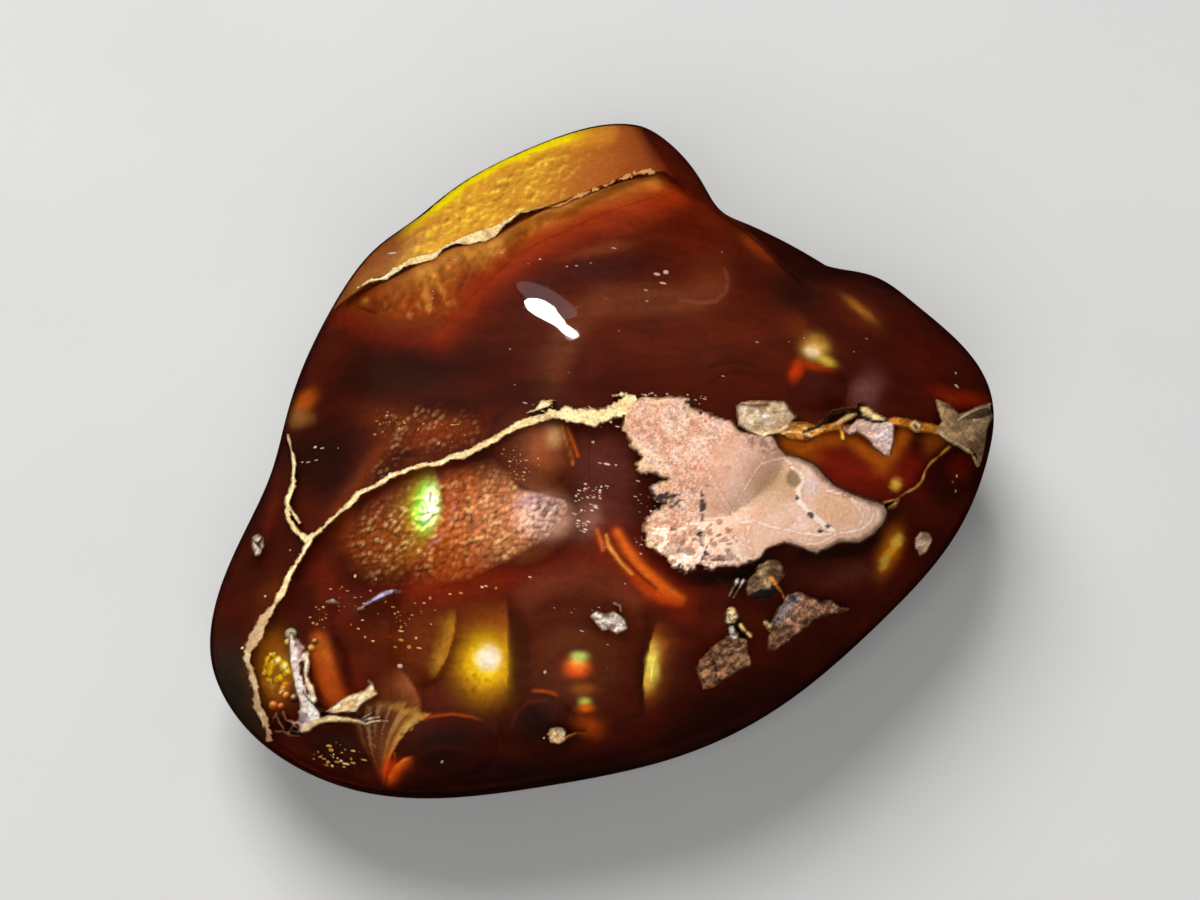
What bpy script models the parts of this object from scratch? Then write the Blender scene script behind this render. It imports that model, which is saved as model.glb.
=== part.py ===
"""A polished fire agate nodule: one closed piece of stone that lies on a ground flat."""

import math

import bmesh
import bpy

MM = 0.001

# All sizes below are in millimetres and all angles in degrees.
# Heights are from the surface the stone lies on, +X is right and +Y is away.
DIVISIONS = 28  # squares along each edge of the cube that the stone is shaped from

# The girdle is the widest line round the stone. It climbs towards +X and -Y.
GIRDLE_HEIGHT = 4.6
GIRDLE_SLOPE_X = 0.045
GIRDLE_SLOPE_Y = -0.06

# The crown is the polished dome above the girdle, the keel is the rounded underside.
CROWN_HEIGHT = 7.2
CROWN_SLOPE_X = -0.05
CROWN_SLOPE_Y = 0.07
CROWN_FULLNESS = 3.0
KEEL_FULLNESS = 3.4
KEEL_OVERCUT = 1.0  # how far the underside would pass the flat it was ground to

# The outline from above: a round body with lobes and a notch.
BODY_RADIUS = 15.4
MIDDLE_RADIUS = 17.7
LOBES = {  # name: (direction from +X, height, half width)
    "crest": (72, 7.4, 25),
    "notch": (63, -8.0, 11),
    "right_tip": (11, 1.5, 9),
    "brow": (115, 0.7, 10),
    "toe": (211, 3.2, 12),
    "foot": (233, 4.9, 17),
    "belly": (265, 1.7, 29),
    "right_flank": (356, 2.6, 18),
}

# Gentle swells and hollows of the polished dome, then the small natural pits left in it.
RELIEF = {  # name: (x, y, height, width)
    "upper_left_shoulder": (-11.9, 8.9, 2.2, 2.6),
    "ridge_head": (3.0, 14.0, 1.9, 2.8),
    "right_shoulder": (13.5, 4.5, 0.9, 5.0),
    "saddle_below_notch": (8.6, 8.2, -1.1, 2.6),
    "matrix_flat": (6.0, -4.0, -0.3, 4.0),
    "fire_dome_rise": (-8.0, -10.0, 0.5, 4.0),
    "lower_dome_rise": (0.0, -14.0, 0.4, 3.0),
    "open_pit": (0.4, -13.2, -0.35, 0.7),
    "left_chip": (-14.0, -0.6, -0.35, 0.9),
    "seam_hollow": (12.0, -2.2, -0.3, 0.8),
}

# Ground or cleaved flats. Direction and tilt are those of the flat's outward normal,
# distance is from the origin, and the flat fades out past its reach from (x, y).
FLATS = {  # name: (direction, tilt from +Z, distance, edge softness, x, y, reach)
    "gold_face": (112, 29, 14.93, 0.20, -4.0, 15.0, 14.0),
    "orange_face": (40, 50, 15.34, 0.10, 6.0, 13.0, 8.0),
    "front_wall": (-49, 72, 18.08, 0.15, 8.0, -12.0, 15.0),
    "toe_face": (212, 68, 21.73, 0.10, -17.0, -14.0, 7.0),
    "resting_flat": (0, 180, 0.0, 0.25, 0.0, 0.0, 1000.0),
}
REST_GRIND = 0.03  # the last lapping cut, which leaves the resting flat truly flat

# Where the middle of the outline's box falls, so that the origin can sit under it.
CENTRE_X = 0.52
CENTRE_Y = 1.04


def outline_radius(angle):
    """The girdle's radius in a direction given in radians."""
    radius = BODY_RADIUS
    for direction, height, half_width in LOBES.values():
        turn = math.cos(angle - math.radians(direction)) - 1
        radius += height * math.exp(turn / math.radians(half_width) ** 2)
    return radius


def sphere_direction(x, y, z):
    """Spreads a point of the cube from -1 to 1 over the unit sphere."""
    return (
        x * math.sqrt(1 - y * y / 2 - z * z / 2 + y * y * z * z / 3),
        y * math.sqrt(1 - z * z / 2 - x * x / 2 + z * z * x * x / 3),
        z * math.sqrt(1 - x * x / 2 - y * y / 2 + x * x * y * y / 3),
    )


def press_flat(point, direction, tilt, distance, softness, x, y, reach):
    """Pushes a point that stands beyond a flat back onto it."""
    lean, turn = math.radians(tilt), math.radians(direction)
    normal = (
        math.sin(lean) * math.cos(turn),
        math.sin(lean) * math.sin(turn),
        math.cos(lean),
    )
    beyond = sum(p * n for p, n in zip(point, normal)) - distance
    ratio = beyond / softness
    push = softness * (ratio if ratio > 30 else math.log1p(math.exp(ratio)))
    away = ((point[0] - x) ** 2 + (point[1] - y) ** 2) / reach**2
    push /= 1 + away**4
    return tuple(p - push * n for p, n in zip(point, normal))


def stone_point(dx, dy, dz):
    """The stone's surface, in millimetres, in a direction of the unit sphere."""
    out = min(math.hypot(dx, dy), 1.0)
    radius = outline_radius(math.atan2(dy, dx))
    radius = MIDDLE_RADIUS + (radius - MIDDLE_RADIUS) * out**2
    x, y = radius * dx, radius * dy
    z = GIRDLE_HEIGHT + GIRDLE_SLOPE_X * x + GIRDLE_SLOPE_Y * y
    if dz >= 0:
        crown = CROWN_HEIGHT + CROWN_SLOPE_X * x + CROWN_SLOPE_Y * y
        z += crown * math.sqrt(max(1 - out**CROWN_FULLNESS, 0))
        for rx, ry, height, width in RELIEF.values():
            away = (x - rx) ** 2 + (y - ry) ** 2
            z += (1 - out**6) * height * math.exp(-away / (2 * width**2))
    else:
        z -= (z + KEEL_OVERCUT) * math.sqrt(max(1 - out**KEEL_FULLNESS, 0))
    point = (x, y, z)
    for flat in FLATS.values():
        point = press_flat(point, *flat)
    return point[0], point[1], max(point[2] - REST_GRIND, 0)


def agate_material():
    material = bpy.data.materials.new("fire_agate")
    material.use_nodes = True
    surface = material.node_tree.nodes["Principled BSDF"]
    surface.inputs["Base Color"].default_value = (0.16, 0.035, 0.012, 1)
    surface.inputs["Roughness"].default_value = 0.06
    surface.inputs["Metallic"].default_value = 0.0
    material.diffuse_color = (0.16, 0.035, 0.012, 1)
    return material


def build_stone(collection):
    mesh = bpy.data.meshes.new("fire_agate")
    shape = bmesh.new()
    bmesh.ops.create_cube(shape, size=2.0)
    bmesh.ops.subdivide_edges(
        shape, edges=shape.edges[:], cuts=DIVISIONS - 1, use_grid_fill=True
    )
    for vertex in shape.verts:
        x, y, z = stone_point(*sphere_direction(*vertex.co))
        vertex.co = ((x - CENTRE_X) * MM, (y - CENTRE_Y) * MM, z * MM)
    bmesh.ops.recalc_face_normals(shape, faces=shape.faces[:])
    shape.to_mesh(mesh)
    shape.free()
    mesh.materials.append(agate_material())
    mesh.polygons.foreach_set("use_smooth", [True] * len(mesh.polygons))
    stone = bpy.data.objects.new("fire_agate", mesh)
    collection.objects.link(stone)
    return stone


def main():
    for old in list(bpy.data.objects):
        bpy.data.objects.remove(old, do_unlink=True)
    collection = bpy.data.collections.new("Fire agate specimen")
    bpy.context.scene.collection.children.link(collection)
    build_stone(collection)


main()
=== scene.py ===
"""Looks of a polished fire agate nodule.

The stone is a closed skin of clear brown chalcedony over opaque fire layers. Every inner piece is a
surface worked out in the stone's own coordinates, so it follows the polished outside at a stated depth.
Lengths are millimetres until a mesh is made. A place named in the view is (right, down) in a frame of
1200 x 900 as the camera sees it.
"""

import math

import bpy
import numpy as np
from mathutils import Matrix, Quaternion, Vector


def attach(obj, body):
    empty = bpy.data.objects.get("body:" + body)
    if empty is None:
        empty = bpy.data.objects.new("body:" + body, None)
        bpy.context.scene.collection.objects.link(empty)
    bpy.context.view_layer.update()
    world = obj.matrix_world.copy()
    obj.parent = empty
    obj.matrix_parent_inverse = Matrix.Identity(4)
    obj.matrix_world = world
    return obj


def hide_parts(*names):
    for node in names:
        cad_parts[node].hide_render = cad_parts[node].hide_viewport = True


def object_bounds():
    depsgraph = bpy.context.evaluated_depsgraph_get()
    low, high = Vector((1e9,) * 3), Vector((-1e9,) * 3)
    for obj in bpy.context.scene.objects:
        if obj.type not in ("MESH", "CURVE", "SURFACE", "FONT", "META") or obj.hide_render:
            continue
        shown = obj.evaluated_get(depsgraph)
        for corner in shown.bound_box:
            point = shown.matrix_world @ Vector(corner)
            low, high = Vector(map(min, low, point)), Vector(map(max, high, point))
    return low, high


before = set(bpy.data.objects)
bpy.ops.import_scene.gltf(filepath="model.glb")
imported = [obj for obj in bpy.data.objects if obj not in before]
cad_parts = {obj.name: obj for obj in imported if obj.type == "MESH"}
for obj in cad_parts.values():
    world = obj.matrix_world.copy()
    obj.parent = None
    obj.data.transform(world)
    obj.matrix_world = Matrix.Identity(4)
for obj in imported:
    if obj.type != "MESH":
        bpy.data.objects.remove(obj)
cad_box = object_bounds()

MM = 0.001

# ---------------------------------------------------------------- the stone's form, as the solid has it
GIRDLE = (4.6, 0.045, -0.06)  # height, rise towards +X, rise towards +Y
CROWN = (7.2, -0.05, 0.07)
CROWN_FULLNESS = 3.0
KEEL_FULLNESS = 3.4
KEEL_OVERCUT = 1.0
BODY_RADIUS = 15.4
MIDDLE_RADIUS = 17.7
LOBES = {  # direction, height, half width
    "crest": (72, 7.4, 25),
    "notch": (63, -8.0, 11),
    "right_tip": (11, 1.5, 9),
    "brow": (115, 0.7, 10),
    "toe": (211, 3.2, 12),
    "foot": (233, 4.9, 17),
    "belly": (265, 1.7, 29),
    "right_flank": (356, 2.6, 18),
}
RELIEF = {  # x, y, height, width
    "upper_left_shoulder": (-11.9, 8.9, 2.2, 2.6),
    "ridge_head": (3.0, 14.0, 1.9, 2.8),
    "right_shoulder": (13.5, 4.5, 0.9, 5.0),
    "saddle_below_notch": (8.6, 8.2, -1.1, 2.6),
    "matrix_flat": (6.0, -4.0, -0.3, 4.0),
    "fire_dome_rise": (-8.0, -10.0, 0.5, 4.0),
    "lower_dome_rise": (0.0, -14.0, 0.4, 3.0),
    "open_pit": (0.4, -13.2, -0.35, 0.7),
    "left_chip": (-14.0, -0.6, -0.35, 0.9),
    "seam_hollow": (12.0, -2.2, -0.3, 0.8),
}
FLATS = {  # direction, tilt, distance, edge softness, x, y, reach
    "gold_face": (112, 29, 14.93, 0.20, -4.0, 15.0, 14.0),
    "orange_face": (40, 50, 15.34, 0.10, 6.0, 13.0, 8.0),
    "front_wall": (-49, 72, 18.08, 0.15, 8.0, -12.0, 15.0),
    "toe_face": (212, 68, 21.73, 0.10, -17.0, -14.0, 7.0),
    "resting_flat": (0, 180, 0.0, 0.25, 0.0, 0.0, 1000.0),
}
REST_GRIND = 0.03
CENTRE = (0.52, 1.04)
INSET = 0.02  # the visual skin lies this far inside the solid's box

# ---------------------------------------------------------------- the camera
VIEW_TARGET = np.array([-0.52, -1.04, 5.0])
VIEW_ELEVATION = math.radians(55)
VIEW_DISTANCE = 137.0
LENS = 85.0
FRAME_WIDTH, FRAME_HEIGHT, SENSOR = 1200, 900, 36.0
FOCAL = LENS / SENSOR * FRAME_WIDTH
VIEW_UNITS_PER_MM = 20.6  # at the stone
VIEW_BACK = np.array([0, -math.cos(VIEW_ELEVATION), math.sin(VIEW_ELEVATION)])
VIEW_UP = np.array([0, math.sin(VIEW_ELEVATION), math.cos(VIEW_ELEVATION)])
EYE = VIEW_TARGET + VIEW_DISTANCE * VIEW_BACK

STONE_IOR = 1.54


def outline_radius(angle):
    """Body radius plus, for each lobe, height * exp((cos(angle - direction) - 1) / half_width^2)."""
    radius = np.full(angle.shape, BODY_RADIUS)
    for direction, height, half_width in LOBES.values():
        turn = np.cos(angle - math.radians(direction)) - 1
        radius += height * np.exp(turn / math.radians(half_width) ** 2)
    return radius


def pressed(points, direction, tilt, distance, softness, x, y, reach):
    """Moves what stands beyond a flat back to it by softness * log(1 + exp(beyond / softness))."""
    lean, turn = math.radians(tilt), math.radians(direction)
    normal = np.array([
        math.sin(lean) * math.cos(turn), math.sin(lean) * math.sin(turn), math.cos(lean)
    ])
    push = softness * np.logaddexp(0, (points @ normal - distance) / softness)
    away = ((points[..., 0] - x) ** 2 + (points[..., 1] - y) ** 2) / reach**2
    return points - (push / (1 + away**4))[..., None] * normal


def stone(direction):
    """The outside of the stone in each direction of the unit sphere.

    x and y are the direction times a radius that goes from the middle radius to the outline's; z is the
    girdle plus the crown * sqrt(1 - out^3) above it, or less the keel's depth * sqrt(1 - out^3.4) below.
    """
    out = np.minimum(np.hypot(direction[..., 0], direction[..., 1]), 1.0)
    radius = outline_radius(np.arctan2(direction[..., 1], direction[..., 0]))
    radius = MIDDLE_RADIUS + (radius - MIDDLE_RADIUS) * out**2
    x, y = radius * direction[..., 0], radius * direction[..., 1]
    girdle = GIRDLE[0] + GIRDLE[1] * x + GIRDLE[2] * y
    crown = CROWN[0] + CROWN[1] * x + CROWN[2] * y
    above = girdle + crown * np.sqrt(np.maximum(1 - out**CROWN_FULLNESS, 0))
    for rx, ry, height, width in RELIEF.values():
        bump = np.exp(-((x - rx) ** 2 + (y - ry) ** 2) / (2 * width**2))
        above += (1 - out**6) * height * bump
    below = girdle - (girdle + KEEL_OVERCUT) * np.sqrt(np.maximum(1 - out**KEEL_FULLNESS, 0))
    points = np.stack([x, y, np.where(direction[..., 2] >= 0, above, below)], -1)
    for flat in FLATS.values():
        points = pressed(points, *flat)
    points[..., 2] = np.maximum(points[..., 2] - REST_GRIND, 0)
    points[..., :2] -= CENTRE
    return points


def unit(vectors):
    """Vectors divided by their length."""
    return vectors / np.maximum(np.linalg.norm(vectors, axis=-1, keepdims=True), 1e-12)


def heading(a, b):
    """Stone coordinates to a direction: their length is the angle from straight up, 1 for a right angle."""
    length = np.hypot(a, b)
    angle = length * math.pi / 2
    level = np.sin(angle) / np.maximum(length, 1e-9)
    return np.stack([a * level, b * level, np.cos(angle)], -1)


def outward(direction, points, step=2e-3):
    """Unit normals of the stone, from the cross product of two short steps along it."""
    side = np.where(np.abs(direction[..., 2:]) < 0.9, [[0.0, 0.0, 1.0]], [[1.0, 0.0, 0.0]])
    first = unit(np.cross(side, direction))
    second = np.cross(direction, first)
    steps = [stone(unit(direction + step * way)) - points for way in (first, second)]
    return unit(np.cross(*steps))


def in_view(points):
    """Where points appear in the view, as (right, down)."""
    from_eye = points - EYE
    depth = -(from_eye @ VIEW_BACK)
    return np.stack([
        FRAME_WIDTH / 2 + FOCAL * from_eye[..., 0] / depth,
        FRAME_HEIGHT / 2 - FOCAL * (from_eye @ VIEW_UP) / depth,
    ], -1)


SIGHT_REACH, SIGHT_STEPS = 1.35, 109  # the grid of the sight table
SIGHT_LIMIT = 1.45


def sight_table():
    """Stone coordinates on a coarse grid with their places in the view, for those that face the camera."""
    steps = np.linspace(-SIGHT_REACH, SIGHT_REACH, SIGHT_STEPS)
    a, b = (grid.ravel() for grid in np.meshgrid(steps, steps))
    keep = np.hypot(a, b) < SIGHT_LIMIT
    a, b = a[keep], b[keep]
    direction = heading(a, b)
    points = stone(direction)
    facing = ((EYE - points) * outward(direction, points)).sum(-1) > 0
    return np.stack([a, b], -1)[facing], in_view(points)[facing]


SIGHT_COORDS, SIGHT_PLACES = sight_table()
PLACES_AT_ONCE = 400
NEWTON_ROUNDS, NEWTON_STEP, LONGEST_MOVE = 6, 1e-4, 0.03
LEAST_SPREAD = 50  # of the view per unit of stone coordinates, so that edge-on places stay steady


def on_stone(places):
    """Stone coordinates of places in the view: the nearest of the coarse grid, then Newton's steps."""
    places = np.asarray(places, float).reshape(-1, 2)
    found = np.empty_like(places)
    for part in np.array_split(np.arange(len(places)), max(1, len(places) // PLACES_AT_ONCE)):
        gap = ((places[part, None] - SIGHT_PLACES[None]) ** 2).sum(-1)
        found[part] = SIGHT_COORDS[gap.argmin(1)]
    for _ in range(NEWTON_ROUNDS):
        here = in_view(stone(heading(found[:, 0], found[:, 1])))
        along_a = (in_view(stone(heading(found[:, 0] + NEWTON_STEP, found[:, 1]))) - here) / NEWTON_STEP
        along_b = (in_view(stone(heading(found[:, 0], found[:, 1] + NEWTON_STEP))) - here) / NEWTON_STEP
        miss = places - here
        size = along_a[:, 0] * along_b[:, 1] - along_a[:, 1] * along_b[:, 0]
        size = np.where(np.abs(size) < LEAST_SPREAD, LEAST_SPREAD * np.sign(size + 1e-9), size)
        move_a = (miss[:, 0] * along_b[:, 1] - miss[:, 1] * along_b[:, 0]) / size
        move_b = (miss[:, 1] * along_a[:, 0] - miss[:, 0] * along_a[:, 1]) / size
        limit = np.minimum(1, LONGEST_MOVE / np.maximum(np.hypot(move_a, move_b), 1e-9))
        found += np.stack([move_a * limit, move_b * limit], -1)
    return found


def smooth(low, high, value):
    """0 below low, 1 above high, and 3t^2 - 2t^3 between."""
    t = np.clip((value - low) / (high - low), 0, 1)
    return t * t * (3 - 2 * t)


def sunk(a, b, depth):
    """Points at a depth under the stone's outside, moved along the refracted line of sight.

    depth is a function of the places in the view and of how squarely each point faces the camera.
    """
    direction = heading(a, b)
    points = stone(direction)
    normal = outward(direction, points)
    sight = unit(points - EYE)
    square = -(sight * normal).sum(-1)
    facing = smooth(0.05, 0.35, square)[..., None]
    bend = square / STONE_IOR - np.sqrt(1 - (1 - square**2) / STONE_IOR**2)
    bent = sight / STONE_IOR + bend[..., None] * normal
    inward = bent * facing - normal * (1 - facing)
    fall = np.maximum(-(inward * normal).sum(-1), 0.4)
    places = in_view(points)
    down = depth(places[..., 0], places[..., 1], square, points)
    return points + inward * (down / fall)[..., None], places, square, points


# ---------------------------------------------------------------- patterns worked out as whole arrays
def scatter(i, j, seed):
    """A repeatable value from 0 to 1 for each whole-number pair: the fraction of a large sine."""
    wave = np.sin(i * 127.1 + j * 311.7 + seed * 74.7) * 43758.5453
    return wave - np.floor(wave)


def mottle(x, y, size, seed):
    """Smooth noise from -1 to 1: lattice values a size apart, joined by 3t^2 - 2t^3."""
    u, v = x / size, y / size
    i, j = np.floor(u), np.floor(v)
    s, t = smooth(0, 1, u - i), smooth(0, 1, v - j)
    top = scatter(i, j, seed) * (1 - s) + scatter(i + 1, j, seed) * s
    bottom = scatter(i, j + 1, seed) * (1 - s) + scatter(i + 1, j + 1, seed) * s
    return 2 * (top * (1 - t) + bottom * t) - 1


def rough(x, y, size, seed, octaves=4):
    """Fractal noise from about -1 to 1: each octave has half the size and half the height of the last."""
    total = sum(mottle(x, y, size / 2**k, seed + 9 * k) / 2**k for k in range(octaves))
    return total / (2 - 2.0 ** (1 - octaves))


def grains(x, y, size, seed, jitter=0.8):
    """Distance to the nearest and second nearest grain centre, in grain sizes, and the grain's own value."""
    u, v = x / size, y / size
    i, j = np.floor(u), np.floor(v)
    near = np.full(np.shape(u), 9.0)
    next_near = near.copy()
    own = np.zeros(np.shape(u))
    for di in (-1, 0, 1):
        for dj in (-1, 0, 1):
            cx = i + di + 0.5 + jitter * (scatter(i + di, j + dj, seed) - 0.5)
            cy = j + dj + 0.5 + jitter * (scatter(i + di, j + dj, seed + 5) - 0.5)
            gap = np.hypot(u - cx, v - cy)
            closer = gap < near
            next_near = np.where(closer, near, np.minimum(next_near, gap))
            own = np.where(closer, scatter(i + di, j + dj, seed + 11), own)
            near = np.where(closer, gap, near)
    return near, next_near, own


def spot(x, y, cx, cy, rx, ry, turn=0.0, edge=1.0):
    """An ellipse that fades by exp(-d^(2 * edge)), d being 1 on its rim; a high edge gives a hard rim."""
    c, s = math.cos(math.radians(turn)), math.sin(math.radians(turn))
    dx, dy = x - cx, y - cy
    along, across = (dx * c + dy * s) / rx, (dy * c - dx * s) / ry
    return np.exp(-((along**2 + across**2) ** edge))


def lay(colours, colour, weight):
    """Covers part of the colours with another: colours * (1 - weight) + colour * weight."""
    weight = np.clip(weight, 0, 1)[..., None]
    return colours * (1 - weight) + np.asarray(colour) * weight


def tint(red, green, blue):
    """A display colour from 0 to 255 as linear light."""
    value = np.array([red, green, blue]) / 255
    return np.where(value < 0.04045, value / 12.92, ((value + 0.055) / 1.055) ** 2.4)


def cover(colours, layers):
    """Lays display colours one after another, each with its own weight."""
    for colour, weight in layers:
        colours = lay(colours, tint(*colour), weight)
    return colours


def coat(x, colour):
    """An even coat of one linear colour over all places."""
    return np.broadcast_to(colour, x.shape + (3,)).copy()


FAR = 60.0  # how far from a line the distances below are worked out


def along(x, y, path):
    """How far inside a vein of varying half width: over its segments, the most of half width less distance.

    path lists (right, down, half width), and a path of two columns is a bare line of no width.
    """
    path = np.asarray(path, float)
    if path.shape[1] == 2:
        path = np.concatenate([path, np.zeros((len(path), 1))], 1)
    low, high = path[:, :2].min(0) - FAR, path[:, :2].max(0) + FAR
    near = (x > low[0]) & (x < high[0]) & (y > low[1]) & (y < high[1])
    px, py = x[near], y[near]
    inside = np.full(px.shape, -FAR)
    for (x0, y0, w0), (x1, y1, w1) in zip(path[:-1], path[1:]):
        dx, dy = x1 - x0, y1 - y0
        t = np.clip(((px - x0) * dx + (py - y0) * dy) / max(dx * dx + dy * dy, 1e-9), 0, 1)
        gap = np.hypot(px - x0 - t * dx, py - y0 - t * dy)
        inside = np.maximum(inside, w0 + t * (w1 - w0) - gap)
    result = np.full(x.shape, -FAR)
    result[near] = inside
    return result


def beside(x, y, path):
    """Distance from a line, positive to the right of one who walks it, and how far along it, from 0 to 1."""
    path = np.asarray(path, float)
    steps = np.hypot(*np.diff(path, axis=0).T)
    reached = np.concatenate([[0.0], np.cumsum(steps)]) / steps.sum()
    gap = np.full(x.shape, FAR)
    side, part = np.zeros(x.shape), np.zeros(x.shape)
    for number, ((x0, y0), (x1, y1)) in enumerate(zip(path[:-1], path[1:])):
        dx, dy = x1 - x0, y1 - y0
        t = np.clip(((x - x0) * dx + (y - y0) * dy) / (dx * dx + dy * dy), 0, 1)
        away = np.hypot(x - x0 - t * dx, y - y0 - t * dy)
        nearer = away < gap
        gap = np.where(nearer, away, gap)
        side = np.where(nearer, np.sign(dx * (y - y0) - dy * (x - x0)), side)
        part = np.where(nearer, reached[number] + t * (reached[number + 1] - reached[number]), part)
    return gap * side, part


def within(x, y, outline):
    """Distance inside a closed outline, negative outside: the border's distance, signed by edge crossings."""
    outline = np.asarray(outline, float)
    closed = np.concatenate([outline, outline[:1]])
    border = -along(x, y, closed)
    inside = np.zeros(x.shape, bool)
    for (x0, y0), (x1, y1) in zip(closed[:-1], closed[1:]):
        if y0 != y1:
            crosses = (y0 > y) != (y1 > y)
            inside ^= crosses & (x < x0 + (y - y0) * (x1 - x0) / (y1 - y0))
    return np.where(inside, border, -border)


# ---------------------------------------------------------------- meshes
def new_object(name, points, faces, material, colours=None, marks=None):
    """A smooth-shaded object from points in millimetres, faces, a paint colour and named values."""
    mesh = bpy.data.meshes.new(name)
    mesh.from_pydata(points.reshape(-1, 3) * MM, [], faces)
    if colours is not None:
        paint = mesh.attributes.new("paint", "FLOAT_COLOR", "POINT")
        flat = np.concatenate([colours.reshape(-1, 3), np.ones((colours.size // 3, 1))], 1)
        paint.data.foreach_set("color", flat.astype(np.float32).ravel())
    for label, values in (marks or {}).items():
        mark = mesh.attributes.new(label, "FLOAT", "POINT")
        mark.data.foreach_set("value", np.asarray(values, np.float32).ravel())
    mesh.polygons.foreach_set("use_smooth", np.ones(len(mesh.polygons), bool))
    mesh.materials.append(material)
    mesh.update()
    piece = bpy.data.objects.new(name, mesh)
    bpy.context.scene.collection.objects.link(piece)
    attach(piece, "root")
    return piece


def grid_quads(rows, columns):
    """The point numbers of a grid, and its quads."""
    index = np.arange(rows * columns).reshape(rows, columns)
    quads = np.stack([index[:-1, :-1], index[1:, :-1], index[1:, 1:], index[:-1, 1:]], -1)
    return index, quads.reshape(-1, 4)


def ring_faces(rings, around):
    """Faces of a closed body of rings: a fan at each pole and quads between rings. Pole, rings, pole."""
    turn = np.arange(around)
    after = (turn + 1) % around
    start = 1 + np.arange(rings - 1)[:, None] * around
    quads = np.stack([start + turn, start + around + turn, start + around + after, start + after], -1)
    top = np.stack([np.zeros(around, int), 1 + turn, 1 + after], -1)
    last = 1 + (rings - 1) * around
    bottom = np.stack([np.full(around, last + around), last + after, last + turn], -1)
    return top.tolist() + quads.reshape(-1, 4).tolist() + bottom.tolist()


def with_poles(rings):
    """Adds the mean of the first and of the last ring as the two poles of an array of rings."""
    tail = rings.shape[2:]
    first = rings[0].mean(0).reshape((1,) + tail)
    last = rings[-1].mean(0).reshape((1,) + tail)
    return np.concatenate([first, rings.reshape((-1,) + tail), last])


# ---------------------------------------------------------------- materials
MIX_SOCKETS = (0, 6, 7)  # a colour mix's weight and its two colours
RIDGE_HOLLOW = (0.7, 10.7, 11.25)  # the polish dips towards this place on the ridge
HOLLOW_REACH, HOLLOW_DEPTH = 4.5, 0.36
RIPPLE = 0.0004  # of the hollow's depth
ABSORPTION_TINT = (0.92, 0.66, 0.22, 1)
ABSORPTION_PER_METRE = 300


class Finish:
    """A Principled material under construction, with short calls for the nodes the stone needs."""

    def __init__(self, name):
        self.material = bpy.data.materials.new(name)
        self.material.use_nodes = True
        self.tree = self.material.node_tree
        self.surface = self.tree.nodes["Principled BSDF"]
        self.output = self.tree.nodes["Material Output"]
        self.place = self.node("ShaderNodeTexCoord").outputs["Object"]

    def node(self, kind, **settings):
        """A new node with some of its settings."""
        made = self.tree.nodes.new(kind)
        for label, value in settings.items():
            setattr(made, label, value)
        return made

    def link(self, source, target):
        """Links an output to an input."""
        self.tree.links.new(source, target)

    def feed(self, socket, value):
        """Links an output to a socket, or sets a number or a colour on it."""
        if isinstance(value, bpy.types.NodeSocket):
            self.link(value, socket)
        else:
            socket.default_value = (*value, 1) if isinstance(value, tuple) and len(value) == 3 else value

    def put(self, node, **values):
        """Sets or links a node's inputs; the names have _ for each space."""
        for label, value in values.items():
            self.feed(node.inputs[label.replace("_", " ")], value)

    def mark(self, label, output="Fac"):
        """A mesh's own value or colour, by name."""
        return self.node("ShaderNodeAttribute", attribute_name=label).outputs[output]

    def noise(self, size, detail=4.0, roughness=0.6, stretch=None, distortion=0.0):
        """Noise with features of a size in millimetres, as a value from 0 to 1."""
        place = self.place
        if stretch:
            turned = self.node("ShaderNodeMapping")
            turned.inputs["Rotation"].default_value = [math.radians(v) for v in stretch[0]]
            turned.inputs["Scale"].default_value = stretch[1]
            self.link(place, turned.inputs["Vector"])
            place = turned.outputs["Vector"]
        noise = self.node("ShaderNodeTexNoise")
        self.put(noise, Vector=place, Scale=1 / (size * MM), Detail=detail, Roughness=roughness,
                 Distortion=distortion)
        return noise.outputs["Fac"]

    def cells(self, size, feature="F1", output="Distance", randomness=1.0):
        """Cellular pattern with cells of a size in millimetres."""
        cells = self.node("ShaderNodeTexVoronoi", feature=feature)
        self.put(cells, Vector=self.place, Scale=1 / (size * MM), Randomness=randomness)
        return cells.outputs[output]

    def remap(self, value, low, high, to_low=0.0, to_high=1.0):
        """A value between low and high moved by 3t^2 - 2t^3 to one between two others."""
        made = self.node("ShaderNodeMapRange", interpolation_type="SMOOTHSTEP")
        self.put(made, Value=value, From_Min=low, From_Max=high, To_Min=to_low, To_Max=to_high)
        return made.outputs["Result"]

    def sum(self, first, second, operation="ADD"):
        """Two values added, or joined by another operation."""
        made = self.node("ShaderNodeMath", operation=operation)
        for socket, value in zip(made.inputs, (first, second)):
            self.feed(socket, value)
        return made.outputs[0]

    def mix(self, weight, first, second, blend="MIX"):
        """Two colours mixed or blended by a weight."""
        made = self.node("ShaderNodeMix", data_type="RGBA", blend_type=blend)
        for number, value in zip(MIX_SOCKETS, (weight, first, second)):
            self.feed(made.inputs[number], value)
        return made.outputs[2]

    def bump(self, height, depth, strength=1.0):
        """Bump from a height value, its full range standing for a depth in millimetres."""
        made = self.node("ShaderNodeBump")
        self.put(made, Height=height, Distance=depth * MM, Strength=strength)
        self.link(made.outputs["Normal"], self.surface.inputs["Normal"])


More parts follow.
